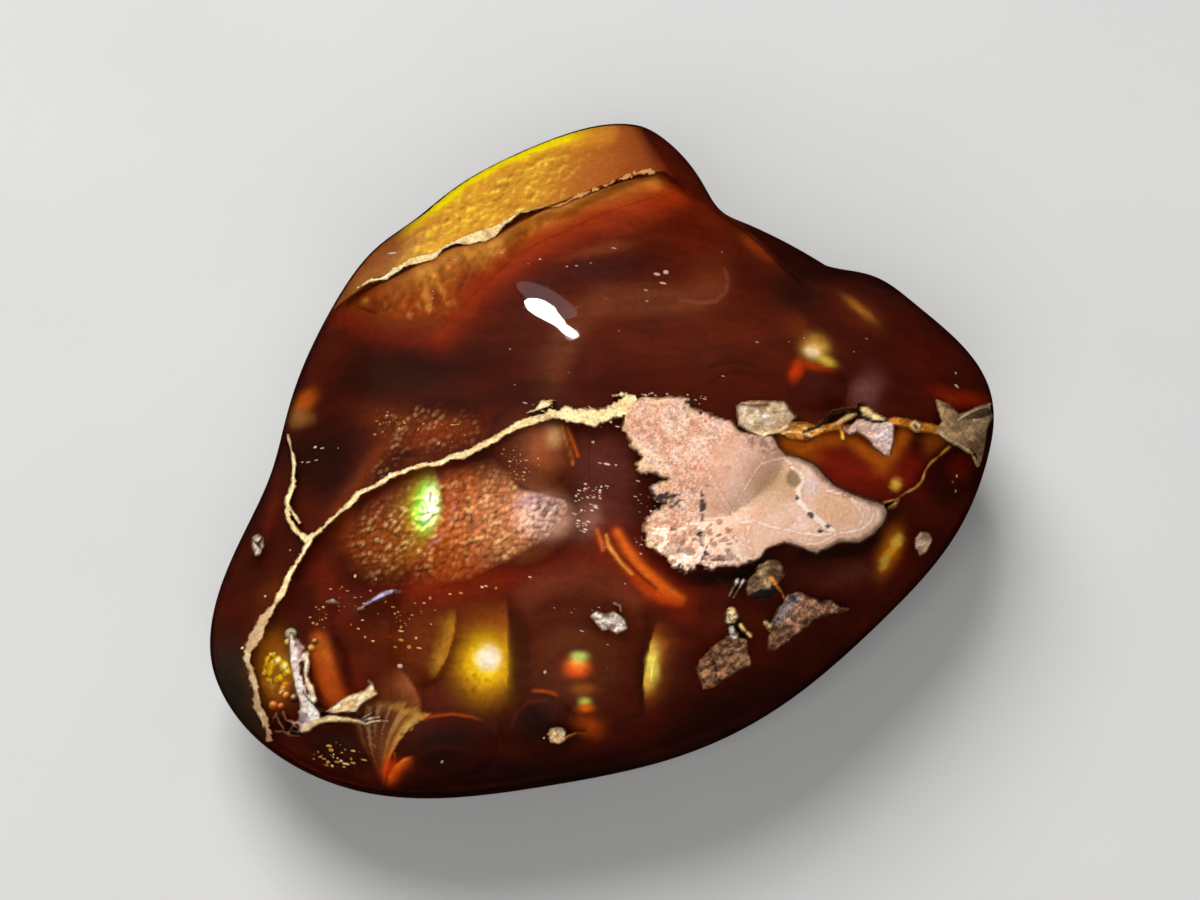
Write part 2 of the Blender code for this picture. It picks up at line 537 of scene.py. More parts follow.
def clear_chalcedony():
    """Polished clear brown chalcedony: plain transmission with amber absorption and a faintly worn polish."""
    finish = Finish("clear_chalcedony")
    wear = finish.noise(1.6, 6, 0.65)
    scratches = finish.noise(0.25, 3, 0.6, stretch=((0, 0, 35), (1, 9, 1)))
    gloss = finish.sum(finish.remap(wear, 0.35, 0.75, 0.01, 0.025),
                       finish.remap(scratches, 0.62, 0.8, 0.0, 0.016))
    finish.put(finish.surface, Base_Color=(1, 1, 1, 1), Transmission_Weight=1.0, IOR=STONE_IOR,
               Specular_IOR_Level=0.25, Roughness=gloss)
    away = finish.node("ShaderNodeVectorMath", operation="DISTANCE")
    finish.link(finish.place, away.inputs[0])
    away.inputs[1].default_value = [v * MM for v in RIDGE_HOLLOW]
    hollow = finish.remap(away.outputs["Value"], 0, HOLLOW_REACH * MM, 0, 1)
    ripple = finish.remap(finish.noise(0.9, 5, 0.6), 0, 1, 0, RIPPLE)
    finish.bump(finish.sum(hollow, ripple), HOLLOW_DEPTH)
    absorb = finish.node("ShaderNodeVolumeAbsorption")
    absorb.inputs["Color"].default_value = ABSORPTION_TINT
    absorb.inputs["Density"].default_value = ABSORPTION_PER_METRE
    finish.link(absorb.outputs["Volume"], finish.output.inputs["Volume"])
    return finish.material


def fire_layers(name, banding):
    """The brown layers that carry the fire: painted, with fine grain, and pearly where the fire shows."""
    finish = Finish(name)
    paint = finish.mark("paint", "Color")
    lustre = finish.mark("lustre")
    fine = finish.noise(0.3, 6, 0.7)
    bands = finish.noise(2.2, 3, 0.5, stretch=((0, 0, 20), (1, 3.2, 1)))
    shade = finish.mix(finish.remap(fine, 0.3, 0.7), (0.86, 0.84, 0.82), (1.12, 1.12, 1.1))
    broad = finish.mix(finish.remap(bands, 0.3, 0.7), (0.86, 0.84, 0.82), (1.1, 1.14, 1.16))
    both = finish.mix(banding, shade, finish.mix(1.0, shade, broad, "MULTIPLY"))
    colour = finish.mix(1.0, paint, both, "MULTIPLY")
    finish.put(finish.surface, Base_Color=colour, Metallic=finish.sum(lustre, 0.7, "MULTIPLY"),
               Roughness=finish.remap(lustre, 0, 1, 0.6, 0.34), Specular_IOR_Level=0.06)
    finish.bump(fine, 0.012)
    return finish.material


def stone_crust(name, glaze):
    """Pale crust of seams and host rock: painted, and sugary where its own value says so."""
    finish = Finish(name)
    sugar = finish.mark("sugar")
    grain = finish.cells(0.1, "F1", "Color")
    fine = finish.noise(0.16, 5, 0.7)
    shade = finish.mix(finish.remap(grain, 0.25, 0.75), (0.6, 0.58, 0.6), (1.25, 1.24, 1.22))
    dust = finish.mix(finish.remap(fine, 0.3, 0.7), (0.9, 0.88, 0.86), (1.08, 1.08, 1.08))
    speckle = finish.mix(sugar, (1.0, 1.0, 1.0), shade)
    paint = finish.mark("paint", "Color")
    colour = finish.mix(1.0, paint, finish.mix(1.0, dust, speckle, "MULTIPLY"), "MULTIPLY")
    finish.put(finish.surface, Base_Color=colour, Roughness=glaze, Specular_IOR_Level=0.15)
    finish.bump(finish.sum(fine, finish.cells(0.16), "SUBTRACT"), 0.02)
    return finish.material


def studio_floor():
    """Pale matt board."""
    finish = Finish("pale_floor")
    tone = finish.mix(finish.noise(14, 4, 0.5), (0.335, 0.338, 0.342), (0.37, 0.37, 0.37))
    finish.put(finish.surface, Base_Color=tone, Roughness=0.9)
    finish.bump(finish.noise(0.5, 3, 0.5), 0.01)
    return finish.material


FIRE_LAYERS = fire_layers("fire_layers", 1.0)
GOLD_FOIL = fire_layers("gold_foil", 0.0)
SEAM_CRUST = stone_crust("cream_seam_crust", 0.55)
HOST_STONE = stone_crust("pink_host_rock", 0.62)

# ---------------------------------------------------------------- pieces
SKIN_DIVISIONS = 126


def cube_directions(divisions):
    """Unit directions of six (n+1) x (n+1) face grids of a cube, spread over the sphere, and their quads."""
    t = np.linspace(-1, 1, divisions + 1)
    u, v = np.meshgrid(t, t, indexing="ij")
    one = np.ones_like(u)
    sides = [(one, u, v), (-one, -u, v), (-u, one, v), (u, -one, v), (u, v, one), (u, -v, -one)]
    quad = grid_quads(divisions + 1, divisions + 1)[1]
    directions, quads = [], []
    for number, (x, y, z) in enumerate(sides):
        spread = [p * np.sqrt(1 - q * q / 2 - r * r / 2 + q * q * r * r / 3)
                  for p, q, r in ((x, y, z), (y, z, x), (z, x, y))]
        directions.append(np.stack(spread, -1).reshape(-1, 3))
        quads.append(quad + number * len(directions[-1]))
    directions, quads = np.concatenate(directions), np.concatenate(quads)
    _, first, joined = np.unique(np.round(directions, 6), axis=0, return_index=True, return_inverse=True)
    return directions[first], joined.reshape(-1)[quads]


def clear_skin():
    """The polished outside: the stone's formula on a fine cube grid, drawn in a hair from the solid's box."""
    directions, quads = cube_directions(SKIN_DIVISIONS)
    points = stone(directions)
    low, high = (np.array(corner) / MM for corner in cad_box)
    middle = (low + high) / 2
    middle[2] = 0
    span = np.abs(points - middle).max(0)
    points = middle + (points - middle) * (1 - INSET / span)
    skin = new_object("clear_chalcedony_skin", points, quads.tolist(), clear_chalcedony())
    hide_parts("fire_agate")
    return skin


# ---------------------------------------------------------------- the fire layers' own shape and colour
BODY = tint(84, 24, 12)
CLOUDS = {  # soft areas of tone: colour, weight, right, down, half sizes, turn, hardness
    "upper_slope": ((106, 34, 16), 0.7, 640, 330, 150, 80, 8, 1.4),
    "deep_left": ((46, 13, 8), 0.9, 385, 366, 120, 36, -8, 1.6),
    "left_edge_red": ((100, 30, 10), 0.6, 320, 352, 24, 56, 20, 1.5),
    "notch_red": ((116, 32, 8), 0.8, 700, 226, 44, 28, 30, 1.5),
    "orange_shelf": ((150, 64, 24), 0.8, 628, 226, 48, 7, -17, 1.5),
    "second_shelf": ((150, 72, 34), 0.8, 600, 250, 40, 5, -14, 1.2),
    "shelf_gap": ((96, 26, 12), 0.6, 575, 243, 60, 5, -18, 1.3),
    "plum_band": ((76, 28, 26), 0.9, 600, 270, 58, 13, -8, 1.8),
    "olive_glow": ((110, 52, 32), 0.6, 640, 306, 46, 14, 0, 1.4),
    "rust_field": ((104, 40, 22), 0.6, 660, 342, 70, 22, 4, 1.4),
    "rust_glow": ((128, 54, 30), 0.75, 712, 272, 22, 24, 0, 1.8),
    "smoky_streak": ((112, 58, 44), 0.7, 552, 368, 22, 44, 12, 1.3),
    "maroon_field": ((78, 20, 14), 0.7, 600, 382, 54, 24, -4, 1.6),
    "notch_glow": ((170, 74, 22), 0.95, 758, 247, 22, 6, 42, 1.5),
    "ridge_facet": ((146, 50, 16), 0.9, 682, 172, 14, 58, -32, 1.8),
    "dark_neck": ((40, 10, 6), 0.88, 800, 296, 30, 36, 10, 1.5),
    "right_shoulder": ((68, 16, 9), 0.88, 900, 345, 90, 60, 38, 1.5),
    "shoulder_red": ((96, 22, 8), 0.5, 925, 365, 34, 20, 50, 1.3),
    # tan_streak is a painted glint of the fire; tan_streak_halo is its glow.
    "tan_streak": ((255, 186, 80), 1.0, 862, 309, 19, 4.5, 45, 1.3),
    "tan_streak_halo": ((110, 42, 18), 0.7, 860, 312, 34, 16, 40, 1.3),
    # Painted reflection: a soft lilac haze.
    "lilac_reflection_haze": ((150, 96, 104), 0.75, 866, 394, 14, 20, 16, 1.2),
    "glass_zone": ((142, 32, 14), 0.95, 862, 462, 74, 34, 14, 2.5),
    "glass_zone_bright": ((206, 92, 16), 0.85, 798, 446, 24, 13, 30, 1.5),
    "glass_by_wedge": ((190, 92, 30), 0.7, 884, 458, 12, 16, 0, 1.5),
    "wedge_orange": ((206, 112, 34), 0.9, 936, 441, 12, 11, 0, 1.4),
    "shoulder_ember": ((130, 54, 16), 0.7, 800, 330, 22, 12, 40, 1.3),
    "right_red": ((176, 48, 10), 0.85, 962, 397, 30, 8, 12, 1.5),
    "right_nodule": ((54, 12, 9), 0.95, 951, 478, 30, 28, -32, 2.5),
    "nodule_red": ((128, 28, 10), 0.8, 960, 468, 13, 12, -32, 1.5),
    "lower_right": ((82, 24, 13), 0.85, 865, 590, 110, 44, -26, 1.6),
    "lower_right_red": ((104, 18, 6), 0.6, 900, 562, 22, 12, -30, 1.3),
    "under_matrix": ((70, 26, 18), 0.8, 775, 574, 88, 15, -4, 1.6),
    "plum_by_rim": ((104, 52, 48), 0.7, 850, 574, 26, 12, -16, 1.3),
    "bank_brown": ((150, 66, 26), 0.8, 420, 428, 54, 20, 10, 1.4),
    "warm_middle": ((150, 44, 14), 0.85, 452, 584, 74, 20, -8, 1.5),
    "arch_foot_red": ((130, 34, 16), 0.7, 600, 562, 30, 12, 10, 1.3),
    "left_dark": ((44, 14, 8), 0.92, 326, 462, 40, 50, 18, 2.0),
    "left_flank": ((74, 22, 9), 0.8, 262, 560, 34, 70, 22, 1.6),
    "flank_red": ((124, 38, 14), 0.6, 270, 512, 6, 24, 10, 1.3),
    "flank_gold": ((120, 56, 18), 0.7, 272, 600, 12, 20, 26, 1.4),
    "tip_orange": ((214, 104, 18), 0.95, 303, 401, 15, 9, -50, 1.5),
    "tip_grey": ((176, 124, 72), 0.95, 300, 417, 11, 9, -30, 1.5),
    "seam_shade": ((58, 17, 10), 0.75, 480, 396, 80, 10, -10, 1.5),
    "purple_zone": ((112, 56, 54), 0.92, 604, 482, 30, 54, -6, 1.8),
    "purple_low": ((122, 46, 34), 0.7, 592, 552, 40, 20, 0, 1.4),
    "mauve_glow": ((190, 136, 130), 0.8, 588, 518, 13, 17, 4, 1.2),
    "centre_red": ((124, 34, 14), 0.8, 545, 576, 46, 16, -18, 1.4),
    "plum_lower_left": ((96, 42, 38), 0.85, 350, 608, 30, 14, 8, 1.5),
    "lower_brown": ((122, 48, 18), 0.7, 436, 640, 84, 44, 0, 1.5),
    "lower_left_red": ((120, 34, 12), 0.75, 330, 592, 16, 44, -24, 1.5),
    "low_red": ((134, 34, 10), 0.85, 352, 688, 14, 24, 0, 1.4),
    # Painted reflection: the grey on the polished side facet at the lower left.
    "side_facet_reflection": ((54, 49, 46), 0.95, 236, 690, 24, 58, -16, 2.2),
    # The bottom edge darkened: partly the dark body tone, partly painted shade of the stone's lower side.
    "bottom_dark": ((34, 9, 7), 0.9, 540, 780, 220, 28, -6, 2.0),
    "bottom_right_dark": ((42, 11, 8), 0.88, 720, 716, 90, 28, -28, 1.8),
}
HONEY_SHELF = [
    (345, 302), (386, 282), (448, 250), (497, 236), (545, 210), (607, 188), (660, 172), (668, 190),
    (657, 198), (600, 216), (578, 226), (540, 243), (514, 258), (480, 290), (452, 318), (440, 330),
    (400, 322), (365, 310),
]
DARK_ARCH = [
    (508, 706), (507, 650), (508, 606), (518, 584), (545, 568), (580, 560), (615, 570), (640, 590),
    (651, 622), (648, 650), (644, 692), (640, 715), (600, 735), (575, 716), (545, 698), (520, 694),
]
DOMES = {  # right, down, half sizes, turn, rise in mm, crown colour (partly painted light on the paler domes' crowns), rim shade (painted shade along the rim)
    "green_fire_dome": (420, 512, 88, 58, -24, 0.50, (130, 46, 16), 0.2),
    "bronze_dome": (521, 516, 56, 53, 0, 0.60, (176, 104, 58), 0.1),
    "bubble_dome": (531, 446, 46, 46, 0, 0.70, (112, 52, 30), 0.25),
    "crescent_dome": (424, 646, 33, 42, 12, 0.50, (124, 54, 20), 0.1),
    "low_tan_dome": (396, 700, 30, 36, 10, 0.45, (122, 54, 26), 0.1),
    "small_dark_dome": (538, 724, 40, 33, 0, 0.50, (46, 15, 9), 0.15),
    "bottom_left_dome": (446, 748, 52, 34, -4, 0.50, (30, 9, 6), 0.1),
    "speckled_dome": (338, 748, 38, 26, 12, 0.45, (44, 20, 12), 0.2),
    "orange_nodule": (330, 668, 19, 38, -6, 0.60, (140, 54, 18), 0.3),
    "right_fire_dome": (818, 386, 30, 24, 0, 0.55, (74, 24, 18), 0.4),
    "right_low_dome": (684, 676, 32, 44, 6, 0.45, (72, 20, 9), 0.1),
    "arch_dome": (577, 655, 66, 84, 0, 0.55, (84, 38, 20), 0.2),
}
CURTAINS = {  # a glow to the right of a walked line, sharp at the line: colour, width, weight, line
    "gold": ((160, 82, 28), 30, 0.85, [(507, 590), (507, 604), (508, 650), (507, 692), (506, 706)]),
    "gold_strip": ((240, 170, 50), 4, 0.8, [(507, 622), (508, 650), (507, 690)]),
    "crescent": ((214, 160, 52), 11, 0.95, [
        (455, 606), (455, 621), (453, 638), (447, 657), (436, 676), (430, 682)]),
    "tan_arc": ((170, 100, 56), 13, 0.9, [(396, 664), (408, 678), (417, 692), (421, 706), (421, 718)]),
    "right_glow": ((176, 96, 38), 17, 0.9, [(645, 716), (644, 683), (646, 666), (651, 642), (658, 616)]),
    "right_gold": ((255, 216, 96), 9, 0.95, [(645, 702), (644, 683), (646, 666), (651, 642), (655, 630)]),
    "dome_rim": ((206, 84, 22), 2.4, 0.8, [(487, 723), (471, 718), (452, 715), (430, 718), (418, 724)]),
    "tongue": ((255, 96, 20), 8, 1.0, [(386, 790), (388, 776), (395, 765), (404, 758), (416, 755)]),
    "tongue_edge": ((255, 170, 60), 3, 0.95, [(388, 784), (390, 774), (396, 765), (404, 759), (413, 756)]),
    "small_rim": ((232, 96, 24), 2.6, 0.95, [(561, 699), (552, 694), (541, 692), (528, 692)]),
    "left_wing": ((140, 62, 24), 16, 0.7, [(360, 505), (352, 520), (350, 540), (356, 560)]),
}
STROKES = {  # soft strokes: colour, weight, softness, line with half widths
    "ember_band": ((166, 54, 12), 0.7, 10, [
        (470, 292, 0), (488, 276, 3), (514, 258, 4), (548, 238, 4), (594, 217, 5), (642, 203, 5),
        (684, 197, 1)]),
    "olive_arc": ((124, 66, 42), 0.65, 10, [
        (556, 374, 1), (562, 346, 4), (580, 316, 5), (608, 300, 6), (646, 297, 6), (690, 300, 5),
        (716, 290, 1)]),
    "arc_gap": ((92, 28, 18), 0.7, 7, [(590, 372, 2), (600, 344, 3), (630, 334, 3), (680, 340, 2)]),
    "shelf_edge_red": ((150, 42, 10), 0.6, 9, [(440, 338, 0), (456, 318, 2), (474, 296, 2), (488, 278, 0)]),
    # Painted reflection: a thin pinkish line hooking round.
    "hook_reflection": ((150, 90, 80), 0.5, 1.6, [
        (680, 300, 0), (700, 303, 0.5), (716, 301, 0.5), (726, 292, 0.5), (728, 279, 0.3), (724, 268, 0)]),
    "fine_arc_one": ((34, 10, 8), 0.6, 1.8, [(706, 368, 0), (722, 362, 0.5), (740, 361, 0.4), (754, 365, 0)]),
    "fine_arc_two": ((34, 10, 8), 0.6, 1.8, [(712, 380, 0), (728, 373, 0.5), (746, 372, 0.4), (758, 376, 0)]),
    "glass_rim": ((226, 126, 30), 0.8, 6, [
        (786, 442, 2), (802, 446, 3), (820, 441, 1), (846, 438, 0.5), (868, 452, 0.5), (884, 462, 1),
        (897, 448, 0.5), (903, 436, 2)]),
    "ridge_light": ((140, 64, 28), 0.55, 8, [
        (394, 436, 0), (382, 450, 1), (366, 472, 1), (350, 494, 1), (338, 512, 0)]),
    "small_arc_one": ((110, 48, 36), 0.35, 1.6, [
        (512, 726, 0), (516, 712, 0.5), (528, 702, 0.5), (546, 700, 0)]),
    "low_arc": ((70, 22, 12), 0.6, 2, [(412, 760, 0), (426, 750, 0.6), (446, 746, 0.6), (468, 750, 0)]),
    "nodule_flame": ((204, 92, 28), 0.85, 7, [
        (319, 640, 1), (321, 656, 4), (326, 676, 6), (334, 694, 5), (344, 708, 1)]),
    "nodule_dark": ((70, 16, 8), 0.7, 6, [(336, 640, 1), (346, 664, 3), (352, 690, 1)]),
    # Painted shadow: thin dark lines under the host rock.
    "shadow_below_rock": ((14, 5, 4), 0.85, 5, [
        (668, 574, 1), (680, 582, 3), (702, 580, 3), (730, 576, 3), (760, 570, 2)]),
    "shadow_under_rock": ((22, 8, 5), 0.8, 5, [(800, 558, 1), (830, 552, 3), (862, 548, 3), (886, 536, 1)]),
    "flame_back": ((150, 44, 10), 0.6, 15, [(612, 540, 1), (632, 562, 4), (652, 582, 5), (684, 600, 1)]),
    "flame_upper": ((240, 120, 38), 0.95, 4.5, [
        (617, 532, 0), (625, 546, 0.3), (634, 559, 0.8), (643, 570, 1.4), (654, 581, 2.4), (666, 591, 1.8),
        (680, 599, 0)]),
    "flame_lower": ((206, 76, 14), 0.75, 5, [
        (626, 566, 0), (637, 579, 0.6), (648, 590, 1.4), (662, 597, 1.2), (678, 601, 0)]),
    "flame_crack": ((84, 20, 8), 0.85, 1.5, [(626, 560, 0), (635, 570, 0.3), (645, 579, 0.5), (656, 588, 0)]),
    "flame_thread": ((255, 178, 92), 1.0, 1.3, [
        (606, 535, 0), (608, 545, 0.6), (613, 552, 0.6), (621, 563, 0.2), (632, 574, 0)]),
    "flame_left": ((232, 120, 50), 0.95, 1.8, [(597, 530, 0), (601, 541, 0.8), (603, 550, 0)]),
    "bubble_streak": ((250, 150, 60), 0.9, 1.4, [
        (562, 426, 0), (566, 438, 0.4), (570, 452, 0.2), (573, 464, 0)]),
    "bubble_streak_two": ((226, 110, 40), 0.85, 1.4, [(567, 428, 0), (573, 442, 0.3), (578, 456, 0)]),
    "bubble_crack": ((50, 16, 8), 0.8, 1.2, [(564, 426, 0), (568, 442, 0.3), (571, 460, 0)]),
    "dome_lip": ((40, 14, 9), 0.7, 2.5, [
        (498, 472, 1), (513, 484, 1.2), (530, 493, 1.2), (550, 498, 1.2), (569, 500, 1)]),
    "arch_sheen": ((132, 66, 46), 0.5, 12, [
        (524, 600, 1), (546, 582, 3), (580, 576, 4), (614, 584, 3), (632, 602, 1)]),
}
FAN_FOOT = (379, 796)
FAN_EDGE = [(436, 711), (424, 718), (410, 728), (399, 741), (391, 756), (386, 772), (384, 790)]


def fan(x, y):
    """The fan above its foot.

    It gives the share of the fan's width from the dome's edge, how far up a place is, the fine rays, and
    how far the fan holds there.
    """
    gap = beside(x, y, FAN_EDGE)[0]
    up = np.hypot(x - FAN_FOOT[0], y - FAN_FOOT[1])
    share = gap / np.maximum(0.72 * up - 8, 4)
    rays = rough(share * 80, up * 0.06, 5, 24, 1) + 0.9 * rough(share * 190, up * 0.05, 5, 25, 1)
    held = (gap > 0) * smooth(1.05, 0.8, share) * smooth(97, 91, up + 3 * rays) * smooth(8, 20, up)
    return share, up, rays, held


GREEN_EDGE = [(434, 466), (440, 482), (443, 504), (440, 526), (430, 548), (416, 562)]
FIRES = {  # the fire's glow with its painted glints and white-hot cores: colour, weight, right, down, half sizes, turn, hardness
    "green_outskirts": ((190, 150, 44), 0.6, 414, 520, 22, 38, 22, 1.2),
    "green_halo": ((176, 200, 40), 0.9, 423, 513, 17, 33, 14, 1.5),
    "green_body": ((140, 240, 84), 1.0, 427, 508, 13.5, 26, 8, 2.2),
    "green_core": ((240, 255, 216), 0.95, 431, 506, 8.5, 19, 8, 1.6),
    "gold_halo": ((222, 166, 16), 0.95, 484, 666, 27, 33, 0, 1.3),
    "gold_body": ((255, 232, 20), 1.0, 486, 661, 20, 23, 0, 1.5),
    "gold_core": ((255, 255, 255), 1.0, 488, 658, 12.5, 12.5, 0, 2.2),
    "arch_ring": ((124, 66, 34), 0.5, 578, 664, 40, 38, 0, 1.8),
    "arch_inner": ((84, 34, 18), 0.5, 578, 668, 30, 28, 0, 1.8),
    "arch_red": ((255, 104, 26), 0.95, 576, 667, 13, 10, 0, 1.5),
    "arch_heart": ((255, 170, 60), 0.9, 578, 662, 9, 5, 0, 1.3),
    "arch_green": ((196, 226, 120), 0.95, 579, 656, 9, 5, 0, 1.5),
    "arch_stripes": ((170, 96, 34), 0.9, 584, 689, 12, 6, 0, 1.3),
    "arch_glint": ((220, 224, 100), 1.0, 585, 702, 6, 4, 0, 1.3),
    "arch_glint_foot": ((255, 120, 20), 1.0, 586, 708, 8, 4, 0, 1.3),
    "low_orange": ((196, 84, 20), 0.85, 588, 726, 16, 10, 20, 1.3),
    "red_tongue": ((236, 70, 12), 0.7, 391, 770, 9, 11, 30, 1.4),
    "pearl_pink": ((255, 206, 196), 0.85, 547, 516, 24, 20, 14, 1.6),
    "right_crescent": ((232, 190, 90), 0.95, 815, 348, 13, 12, 24, 1.4),
    "right_yellow": ((240, 226, 90), 0.9, 826, 361, 9, 4, 20, 1.3),
    "right_white": ((255, 250, 230), 1.0, 813, 352, 8, 5, 20, 1.5),
    "right_ember": ((200, 60, 10), 1.0, 796, 371, 6, 12, 16, 1.4),
    "ember_edge": ((186, 56, 12), 0.85, 814, 366, 18, 3.4, 10, 1.2),
    "right_gold_core": ((255, 255, 126), 1.0, 653, 667, 6, 16, 4, 1.6),
    "gold_dot": ((255, 220, 90), 1.0, 895, 484, 5.5, 5.5, 0, 1.8),
    "glint_halo": ((216, 120, 16), 0.9, 890, 552, 10, 24, 18, 1.4),
    "glint_upper": ((255, 224, 90), 1.0, 896, 542, 5, 9, 30, 2.2),
    "glint_middle": ((255, 190, 40), 1.0, 890, 552, 4.5, 6, 30, 1.8),
    "glint_lower": ((255, 216, 90), 1.0, 885, 562, 4.5, 9, 14, 2.2),
    "bubble_glow": ((176, 98, 56), 0.85, 546, 450, 20, 24, -20, 1.2),
    "bubble_shine": ((236, 190, 136), 0.85, 554, 436, 8, 10, 10, 1.2),
    "nugget_glow": ((190, 122, 24), 0.8, 272, 668, 20, 34, 0, 1.3),
    "nugget_core": ((255, 232, 120), 0.9, 279, 674, 9, 14, 10, 1.4),
    "nodule_glow": ((206, 112, 36), 0.8, 322, 650, 8, 14, -8, 1.4),
}
BODY_SHADE = 0.8  # of the layers apart from their fire
# Fades across the view: where each starts and where it is full, and of a slanted one also its slant
# and the height where the slant is nothing.
FADES = {
    "shelf_glow_start": (370, 430),
    "shelf_streaks_end": (580, 520),
    "arch_start": (566, 600),
    "arch_rim_start": (590, 620),
    "gold_strip_edge": (507, 509),
    "seam_duller": (570, 640),
    "seam_browner": (580, 640),
    "seam_broken": (540, 600),
    "seam_wider_right": (520, 580),
    "seam_wider_low": (590, 630),
    "upper_seam_browner": (512, 548),
    "foil_right_end": (600, 510, 0.5, 180),
    "foil_left_end": (398, 442, 0.5, 236),
    "seam_light_end": (470, 420),
    "foil_darker_left": (430, 396),
    "rim_glow_left_end": (390, 436),
    "rim_glow_right_end": (606, 560),
    "rim_glow_halo_left_end": (400, 450),
    "foil_deeper": (604, 640),
    "foil_melts": (638, 656, -0.45, 150),
    "hammered_right_end": (600, 520),
    "hammered_left_end": (372, 410),
    "shelf_foil_end": (590, 520),
    "shelf_narrows": (500, 560),
    "shelf_right_end": (652, 610),
    "shelf_left_end": (352, 384),
    "shelf_hammered_end": (600, 540),
    "bed_softer_left": (490, 420),
    "lobe_foot": (522, 480),
    "cream_crumbs_end": (720, 650),
    "grey_rim_start": (760, 810),
    "rock_shade": (690, 790, 0.6, 480),
    "open_grain_end": (740, 690),
    "cluster_orange": (676, 692),
}
SOFT_PLACES = {  # right, down, half sizes, turn, hardness
    "fan_gleam": (404, 728, 14, 20, 30),
    "gold_dome_beads": (478, 676, 30, 32, 0, 1.6),
    "gold_dome_middle": (488, 658, 17, 17, 0, 1.5),
    "crescent_beads": (434, 646, 18, 36, 8, 1.6),
    "beyond_gold_strip": (520, 655, 12, 44, 0, 2),
    "tan_corner": (402, 262, 44, 15, -36, 1.5),
    "green_beads": (427, 507, 15, 31, 6, 2),
    "bronze_beads": (518, 520, 60, 50, 0, 2),
    "orange_beads": (456, 528, 36, 54, 14, 1.6),
    "golden_beads": (388, 540, 40, 30, -20, 1.5),
    "pink_beads": (546, 515, 30, 24, 10, 2),
    "lilac_beads": (540, 503, 22, 9, 10, 2),
    "green_shine": (425, 520, 24, 44, 8, 1.5),
    "bank_shine": (420, 426, 62, 26, 8, 2),
    "bank_foot_shine": (384, 462, 10, 26, 34, 1.5),
    "olive_lobe": (777, 490, 25, 34, 20, 2.2),
    "tan_lobe": (838, 511, 26, 15, 22, 3),
    "lilac_lobe": (812, 486, 9, 12, -20, 1.5),
    "button_rim": (794, 478, 8, 9, 0, 3),
    "button": (796, 478, 6.5, 8, 0, 4),
    "brown_crumbs": (762, 443, 24, 10, 24, 2),
}


def fade(name, value, height=0.0):
    """A named fade along a value; a slanted one also goes by the height in the view."""
    start, full, *tilt = FADES[name]
    if tilt:
        value = value + tilt[0] * (height - tilt[1])
    return smooth(start, full, value)


def soft_place(x, y, name):
    """How much a place in the view lies in a named soft place."""
    return spot(x, y, *SOFT_PLACES[name])


